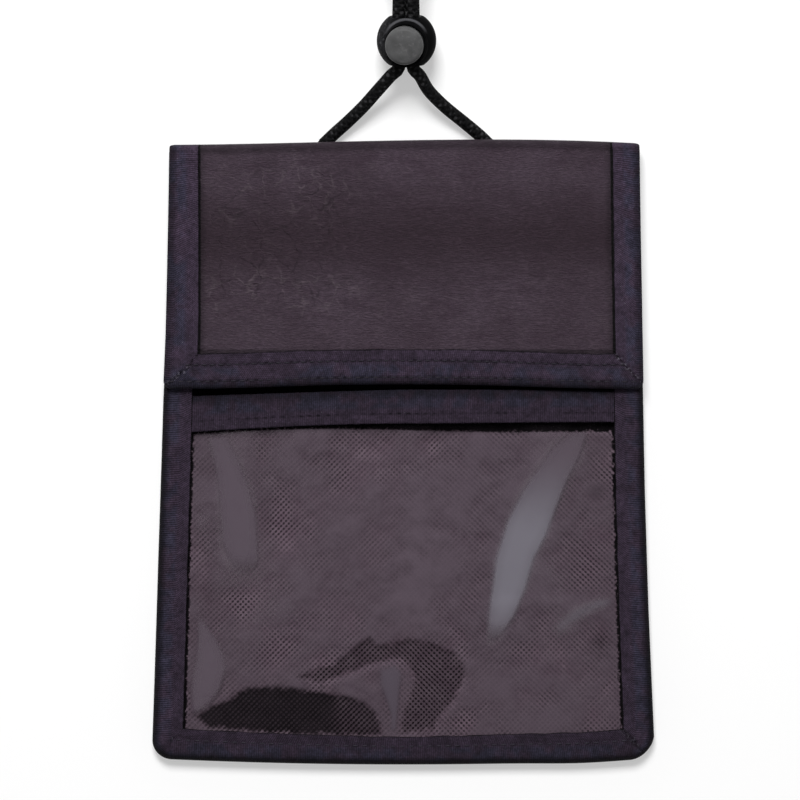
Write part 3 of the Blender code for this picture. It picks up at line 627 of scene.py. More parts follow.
def ribbed_tape(name, rows, inner_edge=None, on_hem=None, deep=1.0, fold_shade=0.55, dark_hem=0.0):
    """Ribs across the tape, needle holes along its rows, slate at its fold and purple towards its inner
    edge. Painted shade darkens its inner edge to a dark line, and darkens its fold. Where on_hem gives the
    hem's start and end along the tape, the rows show mostly there, and the hem is darker by dark_hem."""
    finish = Finish(name, 0.85, specular_ior_level=0.12)
    along, across = finish.along_surface()
    wander = finish.noise(2.2 * MM, 2.0)
    rib = (along + wander * 0.12 * MM).wave(0.56 * MM)
    yarn = across.wave(0.40 * MM)
    weave = rib * 0.75 + yarn * 0.25
    fibre = finish.noise(0.22 * MM, 2.0)
    patch = finish.noise(5 * MM, 4.0).step(0.42, 0.60)
    worn_patch = finish.noise(2.6 * MM, 4.0, roughness=0.7)
    purple = (across.step(4.0 * MM, 5.4 * MM) * 0.75).math("MAXIMUM", patch * 0.8)
    colour = finish.mix(purple, SLATE, PURPLE)
    lint = finish.noise(0.42 * MM, 1.0).step(0.74, 0.79)
    colour = finish.mix(lint * 0.30, colour, LINT)
    mitre = finish.marked("mitre")
    knot = mitre * finish.noise(0.7 * MM, 2.0).step(0.50, 0.60)
    colour = finish.mix(knot * 0.5, colour, KNOTTED)
    tone = (weave * 0.70 + fibre * 0.60 + 0.35) * (worn_patch * 2.0) * (1 - mitre * 0.5 + knot * 0.5)
    grit = finish.noise(0.55 * MM, 3.0).step(0.32, 0.68)
    tone = tone * (grit * 0.45 + 0.78)
    shown = 1.0
    if on_hem is not None:
        shown = along.step(on_hem[0] - MM, on_hem[0] + MM) * (1 - along.step(on_hem[1] - MM, on_hem[1] + MM))
        tone = tone * (1 - shown * dark_hem)
        shown = shown * 0.85 + 0.15
    shown = shown * (finish.noise(7 * MM, 2.0).step(0.35, 0.65) * 0.7 + 0.3)
    for row in rows:
        hole = ((along / STITCH_PITCH).math("FRACT") - 0.5) * STITCH_PITCH
        aside = across - row
        ragged = (finish.noise(1.0 * MM, 2.0) - 0.5) * 0.6 * MM
        far = (hole * hole * 0.25 + aside * aside).math("SQRT") + ragged
        dot = (1 - far.step(0.05 * MM, 0.45 * MM)) * shown
        channel = (1 - (aside + ragged).math("ABSOLUTE").step(0.05 * MM, 0.55 * MM)) * shown
        tone = tone * (1 - dot * 0.45) * (1 - channel * 0.25)
        weave = weave - dot * 1.2
    # Painted shade: a dark line along the inner edge, where the tape stands over the sheet.
    if inner_edge is not None:
        edge = (across + (finish.noise(0.9 * MM, 2.0) - 0.5) * 0.3 * MM).step(
            inner_edge - 0.30 * MM, inner_edge - 0.05 * MM)
        tone = tone * (1 - edge * 0.85)
    # Painted shade over the fold.
    outer = 1 - across.step(0.9 * MM, 3.0 * MM)
    tone = tone * (1 - outer * fold_shade) * deep
    return finish.made(finish.shade(colour, tone), weave + fibre * 0.4, 0.13 * MM)


def leatherette():
    """Satin, nearly plain: a fine flattened grain, darker across its middle, with a few fine creases.
    Painted shade darkens it over the roll and along the inner edges of its binding.
    """
    finish = Finish("leatherette", 0.5, specular_ior_level=0.10)
    along, across = finish.along_surface()
    flat = finish.add("Mapping", {}, {"Vector": finish.place, "Scale": (0.5, 1.7, 1.0)})
    swirl = {"Vector": finish.place, "Scale": 1 / (5 * MM), "Detail": 4.0}
    swirl = finish.add("TexNoise", {}, swirl, "Color")
    bent = finish.add("VectorMath", {"operation": "MULTIPLY_ADD"},
                      {0: swirl, 1: (6 * MM, 6 * MM, 0), 2: finish.place})
    grain = finish.noise(0.62 * MM, 5.0, flat, 0.65).step(0.30, 0.70)
    pore = finish.noise(0.24 * MM, 3.0)
    cloud = finish.noise(15 * MM, 4.0)
    wear = finish.noise(4.5 * MM, 5.0, roughness=0.65)
    creased = ((1 - ((along + 33 * MM) / (23 * MM)).math("ABSOLUTE").step(0.5, 1.2))
               * (1 - ((across - 54 * MM) / (18 * MM)).math("ABSOLUTE").step(0.6, 1.3)))
    line = 1 - finish.cells(7 * MM, bent, "DISTANCE_TO_EDGE").step(0.0, 0.045)
    crease = line * finish.noise(4 * MM, 2.0).step(0.42, 0.60) * (creased * 0.85 + 0.12)
    web = 1 - finish.cells(4.0 * MM, bent, "DISTANCE_TO_EDGE").step(0.0, 0.10)
    rub = web * finish.noise(4.0 * MM, 2.0, bent).step(0.42, 0.62) * (creased * 0.80 + 0.14)
    colour = finish.mix(cloud.step(0.34, 0.66), LEATHER_DARK, LEATHER_LIGHT)
    colour = finish.mix(wear.step(0.52, 0.76) * 0.30, colour, LEATHER_WORN)
    colour = finish.mix(rub * 0.50, colour, LEATHER_RUBBED)
    dusk = finish.noise(4 * MM, 4.0, flat, 0.6).step(0.50, 0.66)
    colour = finish.mix(dusk * 0.40, colour, LEATHER_DUSK)
    middle = 1 - ((across - 55 * MM) / (11 * MM)).math("ABSOLUTE").step(0.0, 1.5)
    colour = finish.mix(middle * 0.8, colour, LEATHER_MIDDLE)
    # Painted shade over the roll, where the leatherette turns over the top edge.
    top = across.step(HINGE_Y - 1.6 * MM, HINGE_Y + 0.4 * MM)
    tone = (grain * 0.50 + pore * 0.5 + 0.50) * (1 - crease * 0.30) * (1 - middle * 0.20) * (1 - top * 0.45)
    from_top = ((HALF_LENGTH - across) / WIDER_RUN).math("MINIMUM", 1.0)
    wider = (1 - along.step(-MM, MM)) * FLAP_SIDE_LEG * (WIDER_TOP + WIDER_GAIN * from_top)
    aside = along.math("ABSOLUTE") + wider + (finish.noise(2 * MM, 2.0) - 0.5) * 0.25 * MM
    # Painted shade along the binding's inner edges: a dark line at the sides and at the hem, with a softer
    # band inside the sides.
    side_edge_shade = aside.step(LEATHER_EDGE - 0.75 * MM, LEATHER_EDGE - 0.40 * MM)
    side_shade = aside.step(LEATHER_EDGE - 2.6 * MM, LEATHER_EDGE - 0.5 * MM) * 0.35
    hem_edge_shade = 1 - (across + (finish.noise(3 * MM, 2.0) - 0.5) * 0.6 * MM).step(
        HEM_Y + FLAP_HEM_LEG + 0.2 * MM, HEM_Y + FLAP_HEM_LEG + 0.6 * MM)
    tone = tone * (1 - side_edge_shade * 0.92) * (1 - side_shade) * (1 - hem_edge_shade * 0.5)
    finish.put("Roughness", wear * 0.3 + 0.36)
    height = grain * 0.9 + pore * 0.35 - crease * 0.6 + rub * 0.6
    return finish.made(finish.shade(colour, tone), height, 0.16 * MM)


def dotted_cloth():
    """A diagonal lattice of dark dots, sunk between paler floats. Where the vinyl clings to it, it is
    darker. Painted shade makes it black along the window's sewn edges, under its strip and in the slit
    between the strip and the flap's hem."""
    finish = Finish("dotted cloth", 0.9, specular_ior_level=0.08)
    x, y = finish.axes()
    wander = finish.noise(7 * MM, 2.0) * 0.9 * MM
    pitch = 0.97 * MM * math.sqrt(2)
    rise = ((x + y + wander) * (math.tau / pitch)).math("COSINE")
    fall = ((x - y + wander * 0.5) * (math.tau / pitch)).math("COSINE")
    lean = (finish.noise(15 * MM, 2.0) + x * 4.0).step(0.35, 0.75)
    speck = (finish.noise(0.5 * MM, 2.0) - 0.5) * 0.9
    fibre = finish.noise(0.25 * MM, 2.0)
    cling = finish.marked("cling")
    cling = (cling + (finish.noise(2.2 * MM, 3.0) - 0.5) * 3.6).step(-1.1, 1.1)
    deep = finish.marked("deep")
    dots = rise * (0.72 + lean * 0.50) + fall * (1.22 - lean * 0.50) + speck
    plain = finish.noise(8 * MM, 3.0).step(0.35, 0.62) * 0.40 + 0.60
    dots = (dots + cling * deep * 0.9).step(-0.15, 1.15) * plain.math("MAXIMUM", cling)
    ragged = finish.noise(4 * MM, 5.0, roughness=0.65).step(0.25, 0.75)
    shade = finish.marked("shade")
    lit = finish.marked("lit")
    ground = finish.mix(ragged, CLOTH_DARK, CLOTH_LIGHT)
    ground = finish.shade(ground, (1 - cling * (0.52 + deep * 0.36)) * (1 - shade * 0.85) * lit)
    sunk = finish.shade(CLOTH_SUNK, 1 - cling * 0.75)
    colour = finish.mix(dots * 0.96, ground, sunk)
    # Painted shade: black along the window's sewn edges, in a band under its strip, and in the slit between
    # the strip and the flap's hem.
    seam_shade = finish.marked("seam_shade")
    seam_shade = (seam_shade + (finish.noise(0.9 * MM, 2.0) - 0.5) * 2.4).step(-0.30, 0.25)
    hem_slit_shade = y.step(13.0 * MM, 14.0 * MM) * (1 - y.step(18.5 * MM, 23.0 * MM) * 0.9)
    painted_shade_share = hem_slit_shade.math("MAXIMUM", seam_shade)
    colour = finish.mix(painted_shade_share, finish.shade(colour, fibre * 0.5 + 0.75), SHADOW_BLACK)
    return finish.made(colour, (1 - dots) + fibre * 0.4, 0.08 * MM)


def clear_vinyl():
    """Thin clear sheet, a little milky. Bands over its creases are painted paler as a painted reflection,
    with a painted haze round them. It is clear where it clings to the cloth, and along its sewn edges
    and under its strip, where painted shade on the cloth shows through."""
    finish = Finish("clear vinyl", 0.1, ior=1.5)
    scuff = finish.noise(3.0 * MM, 5.0, roughness=0.7)
    cloud = finish.noise(11 * MM, 5.0, roughness=0.6).step(0.30, 0.70)
    # Painted reflection: pale bands over the creases, paler still in places, with a softer painted haze round
    # them.
    crease = finish.marked("crease")
    strong = finish.marked("strong")
    edge = crease.step(-0.45, 1.30) * strong * (crease.step(0.0, 3.5) * 0.16 + 0.84)
    glare_haze = crease.step(-7.0, 1.0) * 0.10
    cling = finish.marked("cling").step(-1.0, 0.6)
    # Where the cloth carries painted shade the sheet turns clear, so that the shade shows.
    seam_shade = finish.marked("seam_shade").step(-0.5, 0.1)
    whiter = finish.marked("whiter")
    milk = finish.mix(cloud, VINYL_MILK, VINYL_CLOUD)
    white = finish.mix(whiter, VINYL_GLARE, VINYL_BRIGHT_GLARE)
    lit = finish.marked("lit")
    alpha = (cloud * 0.40 + 0.04 + glare_haze + lit.step(0.78, 1.08) * 0.22) * (1 - cling * 0.92)
    alpha = alpha.math("MAXIMUM", edge * 0.90)
    finish.put("Alpha", alpha * (1 - seam_shade * 0.97))
    finish.put("Roughness", scuff.step(0.4, 0.75) * 0.10 + 0.08)
    return finish.made(finish.mix(edge, milk, white), finish.noise(2.4 * MM, 2.0) + scuff * 0.15, 0.006 * MM)


def plain_cloth(name, colour, size):
    """A plain weave with threads of the given size."""
    finish = Finish(name, 0.85, specular_ior_level=0.15)
    x, y = finish.axes()
    weave = x.wave(size) * y.wave(size) + (1 - x.wave(size)) * (1 - y.wave(size))
    fibre = finish.noise(size / 2, 2.0)
    return finish.made(finish.shade(colour, weave * 0.4 + fibre * 0.4 + 0.5), weave + fibre * 0.4, size / 6)


def fastener_pile(name, size):
    """Hooks or loops: rows of tiny dark tufts."""
    finish = Finish(name, 0.95, specular_ior_level=0.1, sheen_weight=0.1)
    tuft = 1 - finish.cells(size)
    fuzz = finish.noise(size / 2, 3.0)
    return finish.made(finish.shade(PILE, tuft * 0.7 + fuzz * 0.8), tuft + fuzz * 0.5, size / 2)


def braided_cord(name):
    """Two sets of strands crossing round the cord, from its UV: round it, and along it. In patches the
    crowns of the strands are painted a little paler, a painted highlight."""
    finish = Finish(name, 0.75, specular_ior_level=0.10)
    around, along = finish.along_surface()
    plaits = 4
    lay = along / (3.6 * MM)
    one = ((around * plaits + lay * plaits / 2) * math.tau).math("SINE") * 0.5 + 0.5
    other = ((around * plaits - lay * plaits / 2) * math.tau).math("SINE") * 0.5 + 0.5
    braid = one.math("MAXIMUM", other)
    fibre = finish.noise(0.16 * MM, 2.0)
    worn_patch = finish.noise(1.9 * MM, 4.0, roughness=0.65).step(0.46, 0.62)
    # Painted highlight on the crowns of the strands.
    pale = (one * other).step(0.05, 0.6) * worn_patch
    colour = finish.mix(pale, BRAID, BRAID_HIGHLIGHT)
    return finish.made(finish.shade(colour, braid * 0.6 + fibre * 0.9), braid + fibre * 0.3, 0.22 * MM)


def moulded_plastic(name, colour, roughness, gloss, side_light, rim_highlight=0.0):
    """Spark-eroded plastic: a fine even texture, a little clouding, and rubbed spots. Its fifth argument
    paints light down its left side, a highlight above zero and shade below, and its sixth a painted
    highlight on the far arc of its collar."""
    mottle = 0.9
    finish = Finish(name, roughness, specular_ior_level=gloss)
    x, y = finish.axes()
    grain = finish.noise(0.18 * MM, 3.0)
    cloud = finish.noise(2.6 * MM, 4.0)
    rubbed = finish.noise(1.1 * MM, 5.0, roughness=0.7).step(0.5, 0.72)
    tone = cloud * mottle + grain * 0.2 + 0.9 - mottle / 2
    # Painted light down the left side, mottled: a highlight on the housing, shade on the button; and a
    # painted highlight on the far arc of the collar.
    side = 1 - x.step(-6.5 * MM, -0.5 * MM)
    far = ((x - COLLAR_MIDDLE[0]) ** 2 + (y - COLLAR_MIDDLE[1]) ** 2).math("SQRT")
    arc = 1 - (far - COLLAR_RADIUS).math("ABSOLUTE").step(0.1 * MM, 0.5 * MM)
    arc = arc * y.step(105.5 * MM, 108.5 * MM)
    tone = tone + rubbed * mottle * 0.5 + side * (cloud * 0.5 + rubbed) * side_light + arc * rim_highlight
    finish.put("Roughness", roughness + (cloud - 0.5) * 0.2)
    return finish.made(finish.shade(colour, tone), grain + rubbed * 0.4, 0.02 * MM)


def drawn_steel():
    """Bright wire with fine draw marks."""
    finish = Finish("drawn steel", 0.28, metallic=1.0)
    line = finish.noise(0.3 * MM, 3.0)
    finish.put("Roughness", line * 0.2 + 0.2)
    return finish.made(finish.mix(line, STEEL_DARK, STEEL_LIGHT))


def thread(name, colour):
    """Sewing thread."""
    finish = Finish(name, 0.6, specular_ior_level=0.2)
    twist = finish.noise(0.2 * MM, 2.0)
    return finish.made(finish.shade(colour, twist + 0.5), twist, 0.05 * MM)


# The wallet's pieces

BODY_EDGE = {
    "low": 0.0, "high": BODY_TOP, "side": BODY_LEG, "hem": BODY_LEG + 0.7 * MM, "bow": 1.5 * MM,
    "corner": BODY_CORNER, "top": HINGE_Y - GAP, "bottom": -HALF_LENGTH,
    "mitres": (((62.8, -78.0), (54.6, -69.6)),), "seed": 3,
}
FLAP_EDGE = {
    "low": FLAP_LOW, "high": FLAP_TOP, "side": FLAP_SIDE_LEG, "hem": FLAP_HEM_LEG, "bow": 0.0,
    "corner": FLAP_CORNER, "top": HINGE_Y, "bottom": HEM_Y,
    "mitres": (((-63.6, 16.8), (-57.0, 21.6)), ((63.4, 17.4), (55.6, 25.4))), "seed": 8,
}


def places_of(piece):
    """The x and y of a mesh's points."""
    places = np.empty(len(piece.data.vertices) * 3, np.float32)
    piece.data.vertices.foreach_get("co", places)
    places = places.reshape(-1, 3).astype(float)
    return places[:, 0], places[:, 1]


def mark(piece, name, values):
    """Gives each point of a mesh a value that its material reads."""
    layer = piece.data.attributes.new(name, "FLOAT", "POINT")
    layer.data.foreach_set("value", np.asarray(values, np.float32))


def edge_length(form):
    """Length of the edge that a tape is folded over: down one side, along the hem and up the other."""
    side = form["top"] - form["bottom"] - form["corner"]
    return 2 * (side + form["corner"] * math.pi / 2 + HALF_WIDTH - form["corner"])


def hem_rise(x):
    """How far the flap's hem has pulled up towards its middle."""
    return (0.45 - 1.08 * smooth(np.abs(x) / (55 * MM)) ** 1.5) * MM


def edge_place(form, along, share, inset):
    """Where tape lies that is folded over an edge. along runs down the left side, round both corners and
    up the right; inset is measured in from the edge, and share is how far across a leg it is."""
    corner, top, bottom = form["corner"], form["top"], form["bottom"]
    down = top - bottom - corner
    whole = edge_length(form)
    side = np.where(along < whole / 2, -1, 1)
    along = np.minimum(along, whole - along)
    inset_side = inset + share * (form["side"] - TAPE_FOLD)
    hem = form["hem"] - form["bow"] * np.clip((along - down) / (whole / 2 - down), 0, 1) ** 0.8
    inset_hem = inset + share * (hem - TAPE_FOLD)
    if form is FLAP_EDGE:
        wider = left_wider(np.maximum(top - along, bottom + corner))
        inset_side = inset_side * np.where(side < 0, wider, 1.0)
    radius = np.maximum(corner - inset_side, 0)
    centre_x = HALF_WIDTH - inset_side - radius
    centre_y = bottom + inset_hem + radius
    turn = (along - down) / corner
    rest = (along - down - corner * math.pi / 2) / (whole / 2 - down - corner * math.pi / 2)
    x = np.where(along <= down, HALF_WIDTH - inset_side,
                 np.where(turn < math.pi / 2, centre_x + radius * np.cos(turn), centre_x * (1 - rest)))
    y = np.where(along <= down, top + (centre_y - top) * along / down,
                 np.where(turn < math.pi / 2, centre_y - radius * np.sin(turn), bottom + inset_hem))
    if form is FLAP_EDGE:
        y = y + hem_rise(side * x) * smooth((HEM_Y + 30 * MM - y) / (22 * MM))
    return side * x, y


def front_relief(form, x, y, along, share, rows):
    """How the front leg of a tape departs from flat: soft waves, a pucker at each needle hole, and the
    mitre's fold at each corner."""
    lift = 0.05 * MM * waves(x, y, 9 * MM, form["seed"])
    for row in rows:
        pull = bump(share - row, 0.07)
        lift = lift - pull * MM * (0.04 - 0.03 * np.cos(math.tau * along / STITCH_PITCH))
    for start, end in form["mitres"]:
        near = near_line(x, y, np.multiply(start, MM), np.multiply(end, MM))
        lift = lift - 0.16 * MM * bump(near, 0.45 * MM) + 0.06 * MM * bump(near - 1.1 * MM, 0.7 * MM)
    return lift


def folded(front, turn, back, low, high):
    """Each row of a folded tape, from its front leg round the fold to its back leg: its share across a
    leg, its inset from the edge, and its height. front and back are shares, turn an angle from the front."""
    legs = 0 * front, 0 * back
    share = np.concatenate([front, 0 * turn, back])
    inset = np.concatenate([legs[0] + TAPE_FOLD, TAPE_FOLD * (1 - np.sin(turn)), legs[1] + TAPE_FOLD])
    middle, reach = (low + high) / 2, (high - low) / 2
    height = np.concatenate([legs[0] + high, middle + reach * np.cos(turn), legs[1] + low])
    return share[:, None], inset[:, None], height[:, None]


def bound_edge(name, form, rows, finish):
    """Tape over an edge: back leg, rounded fold, front leg, each row of the grid one line along it."""
    along = np.linspace(0, edge_length(form), round(edge_length(form) / (0.55 * MM)) + 1)
    back = np.linspace(1, 0, 5)[:-1]
    turn = np.linspace(0, math.pi, 13)
    front = np.linspace(0, 1, 20)[1:]
    tape = folded(front[::-1], turn, back[::-1], form["low"], form["high"])
    share, inset, height = [part[::-1] for part in tape]
    across = np.concatenate([-FOLD_QUARTER - back * form["side"], (turn / (math.pi / 2) - 1) * FOLD_QUARTER,
                             FOLD_QUARTER + front * (form["side"] - TAPE_FOLD)])
    on_front = (np.arange(len(share)) >= len(back) + len(turn) - 1)[:, None]
    wavy = 1 + 0.012 * waves(along[None] + 0 * share, share, 7 * MM, form["seed"] + 1) * on_front * share
    x, y = edge_place(form, along[None], share * wavy, inset)
    z = height + on_front * front_relief(form, x, y, along[None], share, rows)
    x, y = worn(x, y)
    piece = skin(name, grid(x, y, z), grid(along[None], across[:, None]), TAPE, finish, flip=True)
    x, y = places_of(piece)
    folds = [[np.array(worn(*np.multiply(end, MM))) for end in line] for line in form["mitres"]]
    near = np.min([near_line(x, y, *fold) for fold in folds], axis=0)
    mark(piece, "mitre", bump(near, 0.45 * MM))
    return piece


def row_across(form, share):
    """Where a share of the way across the front leg is in the tape's UV."""
    return FOLD_QUARTER + share * (form["side"] - TAPE_FOLD)


def hem_span(form):
    """Where the hem starts and ends along a tape's edge."""
    start = form["top"] - form["bottom"] - form["corner"] / 2
    return start, edge_length(form) - start


def edge_stitches(name, form, rows, finish):
    """One stitch between each pair of needle holes, along each row of the hem."""
    places, ahead = [], []
    for row in rows:
        start, end = hem_span(form)
        along = np.arange(round(start / STITCH_PITCH) + 1, round(end / STITCH_PITCH)) * STITCH_PITCH
        x, y = worn(*edge_place(form, along, row, TAPE_FOLD))
        x2, y2 = worn(*edge_place(form, along + 0.3 * MM, row, TAPE_FOLD))
        run = grid(x2 - x, y2 - y, 0.0)
        places.append(grid(x, y, form["high"]))
        ahead.append(run / np.linalg.norm(run, axis=1, keepdims=True))
    places, ahead = np.concatenate(places), np.concatenate(ahead)
    return stitches(name, places, ahead, np.tile([0.0, 0.0, 1.0], (len(places), 1)), finish)


def sewn_sheet(x, along):
    """Works out the area and flat size of a sheet that is bound along its edges, from the rows of its grid:
    the length along each row, and where each is cut at both ends. Nothing uses them."""
    widths = x[:, -1] - x[:, 0]
    area = np.sum((widths[1:] + widths[:-1]) / 2 * np.diff(along))
    flat = (float(widths.max()), float(along[-1] - along[0]))


def between_bindings(name, bottom, top, height, thickness, finish, corner, spacing=0.8 * MM, extra=None):
    """A sheet inside the bindings: x across it, y up it, its outer face at height(x, y)."""
    rows = round((top - bottom) / spacing) + 1
    y = np.linspace(bottom, top, rows)[:, None]
    rounding = np.clip(1 - (y - bottom) / corner, 0, 1) if corner else 0 * y
    half = HALF_WIDTH - EDGE_INSET - corner * (1 - np.sqrt(1 - rounding**2))
    share = np.linspace(-1, 1, round(2 * HALF_WIDTH / spacing) + 1)[None]
    x = share * half
    y = y + 0 * x
    z = height(x, y) + (extra(x, y) if extra else 0)
    worn_x, worn_y = worn(x, y)
    piece = skin(name, grid(worn_x, worn_y, z), grid(x, y), thickness, finish, flip=True)
    sewn_sheet(worn_x, y[:, 0])
    return piece


def tape_over_top(name, top, bottom, low, high, height, finish, rows, seed):
    """Tape over a sheet's top edge between the side bindings. top and bottom give its edges by x."""
    half = HALF_WIDTH - BODY_LEG - 0.04 * MM
    x = np.linspace(-half, half, 260)[None]
    turn = np.linspace(0, math.pi, 13)
    front = np.linspace(1, 0, 18)[:-1]
    back = np.linspace(0, 1, 6)[1:]
    share, inset, level = folded(front, turn, back, low, high)
    width = top(x) - bottom(x)
    y = top(x) - inset - share * (width - TAPE_FOLD)
    on_front = (np.arange(len(share)) < len(front))[:, None]
    lift = 0.05 * MM * waves(x, y, 8 * MM, seed)
    for row in rows:
        lift = lift - bump(share - row, 0.08) * 0.05 * MM * (1 - np.cos(math.tau * x / STITCH_PITCH))
    z = level + height(x, y) + on_front * lift
    across = np.concatenate([FOLD_QUARTER + front * STRIP_LEG, (1 - turn / (math.pi / 2)) * FOLD_QUARTER,
                             -FOLD_QUARTER - back * STRIP_LEG])[:, None]
    return skin(name, grid(*worn(x, y), z), grid(x + 0 * y, across), TAPE, finish)


def strip_top(x):
    """The window strip's upper edge, lower towards its left end."""
    return (15.75 - 1.5 * np.clip(-x / (52 * MM), 0, 1.2) ** 1.1) * MM


def strip_bottom(x):
    """The window strip's lower edge, the clear window's upper one."""
    return (7.55 + 0.35 * smooth(x / (50 * MM)) - 2.0 * np.clip(-x / (52 * MM), 0, 1.2) ** 1.7) * MM


def strip_height(x, y):
    """How far the window and its strip stand up."""
    return pocket_swell(x, y, 1.4 * MM)


def mouth_height(x, y):
    """How far the pocket's mouth and front panel stand up."""
    return pocket_swell(x, y, 0.6 * MM)


def strip_stitches(finish):
    """The window strip's row of stitches."""
    x = np.arange(-22, 23) * STITCH_PITCH + STITCH_PITCH / 2
    x = x[np.abs(x) < HALF_WIDTH - BODY_LEG - MM]
    y = strip_top(x) - TAPE_FOLD - STRIP_ROW * (strip_top(x) - strip_bottom(x) - TAPE_FOLD)
    places = grid(*worn(x, y), BODY_TOP + strip_height(x, y))
    ahead = np.gradient(places, axis=0)
    ahead /= np.linalg.norm(ahead, axis=1, keepdims=True)
    up = np.cross(ahead, np.tile([0.0, 1.0, 0.0], (len(x), 1)))
    return stitches("window_binding_stitches", places, ahead, up, finish)


# Shapes that the vinyl has taken, as outlines in mm: bands over its creases, where its reflection is painted
# paler, and places where it clings
RIGHT_CREASE_GLARE = (
    (43.3, 6.4), (47.4, 5.9), (45.3, -0.8), (42.3, -6.4), (39.2, -14.0), (36.7, -21.1), (33.7, -26.7),
    (31.5, -34.5), (28.6, -41.2), (25.0, -47.0), (21.8, -49.4), (20.7, -47.5), (21.2, -40.0), (22.2, -33.0),
    (23.0, -26.7), (26.0, -17.0), (30.1, -8.9), (37.2, 1.3),
)
LEFT_CREASE_GLARE = (
    (-50.2, 4.3), (-44.6, 4.8), (-41.5, -1.8), (-39.0, -8.4), (-37.0, -16.0), (-36.7, -22.1), (-36.6, -27.5),
    (-38.0, -31.0), (-42.0, -31.5), (-45.1, -26.7), (-46.6, -22.1), (-47.1, -14.5), (-48.1, -4.8),
)
LOW_CREASE_GLARE = (
    (-52.7, -40.4), (-50.9, -42.4), (-47.6, -46.5), (-45.3, -51.3), (-44.8, -54.6), (-46.1, -59.7),
    (-48.6, -63.5), (-51.7, -65.8), (-54.5, -66.8), (-54.6, -60.2), (-53.2, -52.6), (-52.8, -46.2),
)
SMALL_CREASE_GLARE = (
    (38.0, -45.5), (38.7, -42.9), (43.6, -39.4), (49.9, -36.6), (53.5, -36.8), (53.0, -38.9), (47.4, -40.9),
    (42.8, -43.9), (39.8, -46.5),
)
COLUMN_CREASE_GLARE = (
    (-6.5, -54.6), (-1.9, -53.1), (0.1, -55.6), (-0.4, -60.2), (-0.9, -65.8), (-1.4, -71.1), (-3.9, -71.1),
    (-3.9, -66.5), (-5.0, -62.7), (-6.5, -58.9),
)
ARC_CREASE_GLARE = (
    (-27.1, -57.4), (-23.7, -57.9), (-18.7, -57.7), (-13.6, -58.2), (-9.5, -59.7), (-6.7, -62.7),
    (-8.0, -63.2), (-10.5, -61.2), (-14.9, -59.7), (-19.9, -59.4), (-25.0, -59.4), (-27.3, -58.4),
)
LOW_CLING = (
    (-53.0, -67.0), (-49.1, -64.5), (-44.9, -62.7), (-42.5, -60.7), (-39.0, -59.7), (-32.2, -59.2),
    (-26.3, -59.9), (-22.0, -60.6), (-17.4, -61.2), (-13.1, -62.0), (-9.5, -63.5), (-7.2, -66.0),
    (-5.7, -69.3), (-5.2, -71.9), (-18.7, -72.0), (-36.5, -71.0), (-50.0, -70.0),
)
ARCH_CLING = (
    (-27.3, -56.8), (-17.0, -53.2), (-10.5, -47.6), (-8.6, -46.4), (-7.2, -48.8), (-4.7, -48.4),
    (1.1, -47.0), (7.2, -48.0), (12.3, -50.0), (15.1, -53.1), (15.6, -56.6), (13.8, -61.2), (10.5, -65.8),
    (7.7, -70.5), (-1.4, -71.5), (0.4, -64.8), (2.9, -58.7), (1.7, -54.1), (-2.2, -52.3), (-8.0, -53.8),
    (-14.9, -56.6), (-20.7, -58.2),
)
# Dark smudges on the cloth: place and size in mm, and how much darker
SMUDGES = (
    ((48.9, -9.6), 1.9, 0.65), ((50.0, -48.5), 2.4, 0.50), ((-21.0, -6.0), 5.0, 0.22),
    ((-27.0, -17.0), 4.0, 0.20), ((-34.0, 2.0), 7.0, 0.14), ((44.0, 1.0), 6.0, 0.20),
    ((-49.0, -36.0), 3.0, 0.25),
)


def signed_distance(x, y, outline):
    """Distance in mm from an outline, above zero inside it: the least distance from its sides, and its
    sign from how many sides a level ray crosses."""
    outline = np.array(outline) * MM
    nearest = np.full(np.shape(x), np.inf)
    crossed = np.zeros(np.shape(x), bool)
    for start, end in zip(outline, np.roll(outline, -1, axis=0)):
        nearest = np.minimum(nearest, near_line(x, y, start, end))
        spans = (start[1] > y) != (end[1] > y)
        rise = end[1] - start[1] if end[1] != start[1] else 1.0
        crossed ^= spans & (x < start[0] + (y - start[1]) / rise * (end[0] - start[0]))
    return np.where(crossed, nearest, -nearest) / MM


def inward(x, y):
    """Distance in mm inside the window's visible edge: from the side bindings, the hem's bowed inner edge
    and the strip, whose shade is deeper towards its right."""
    from_side = (HALF_WIDTH - BODY_LEG) * width_at(x, y) - np.abs(x)
    hem_top = -HALF_LENGTH + 7.0 * MM + 2.4 * MM * (np.abs(x) / (55 * MM)) ** 2
    shade = MM * (0.45 + 1.9 * smooth((x + 45 * MM) / (80 * MM)))
    inside = np.minimum(from_side - 0.55 * MM, y - hem_top + 1.5 * MM)
    return np.minimum(inside, strip_bottom(x) - y - shade) / MM


def window_light(x, y):
    """How light the cloth looks from place to place: most in the middle, less at the sides and in smudges."""
    light = 0.76 + 0.34 * bump(np.hypot((x + 6 * MM) / 22, (y + 24 * MM) / 20), MM)
    aside = smooth((np.abs(x) - 24 * MM) / (14 * MM)) * smooth((y + 60 * MM) / (12 * MM))
    light = light * (1 - 0.06 * aside)
    for place, size, loss in SMUDGES:
        light = light * (1 - loss * bump(np.hypot(x - place[0] * MM, y - place[1] * MM), size * MM))
    return light


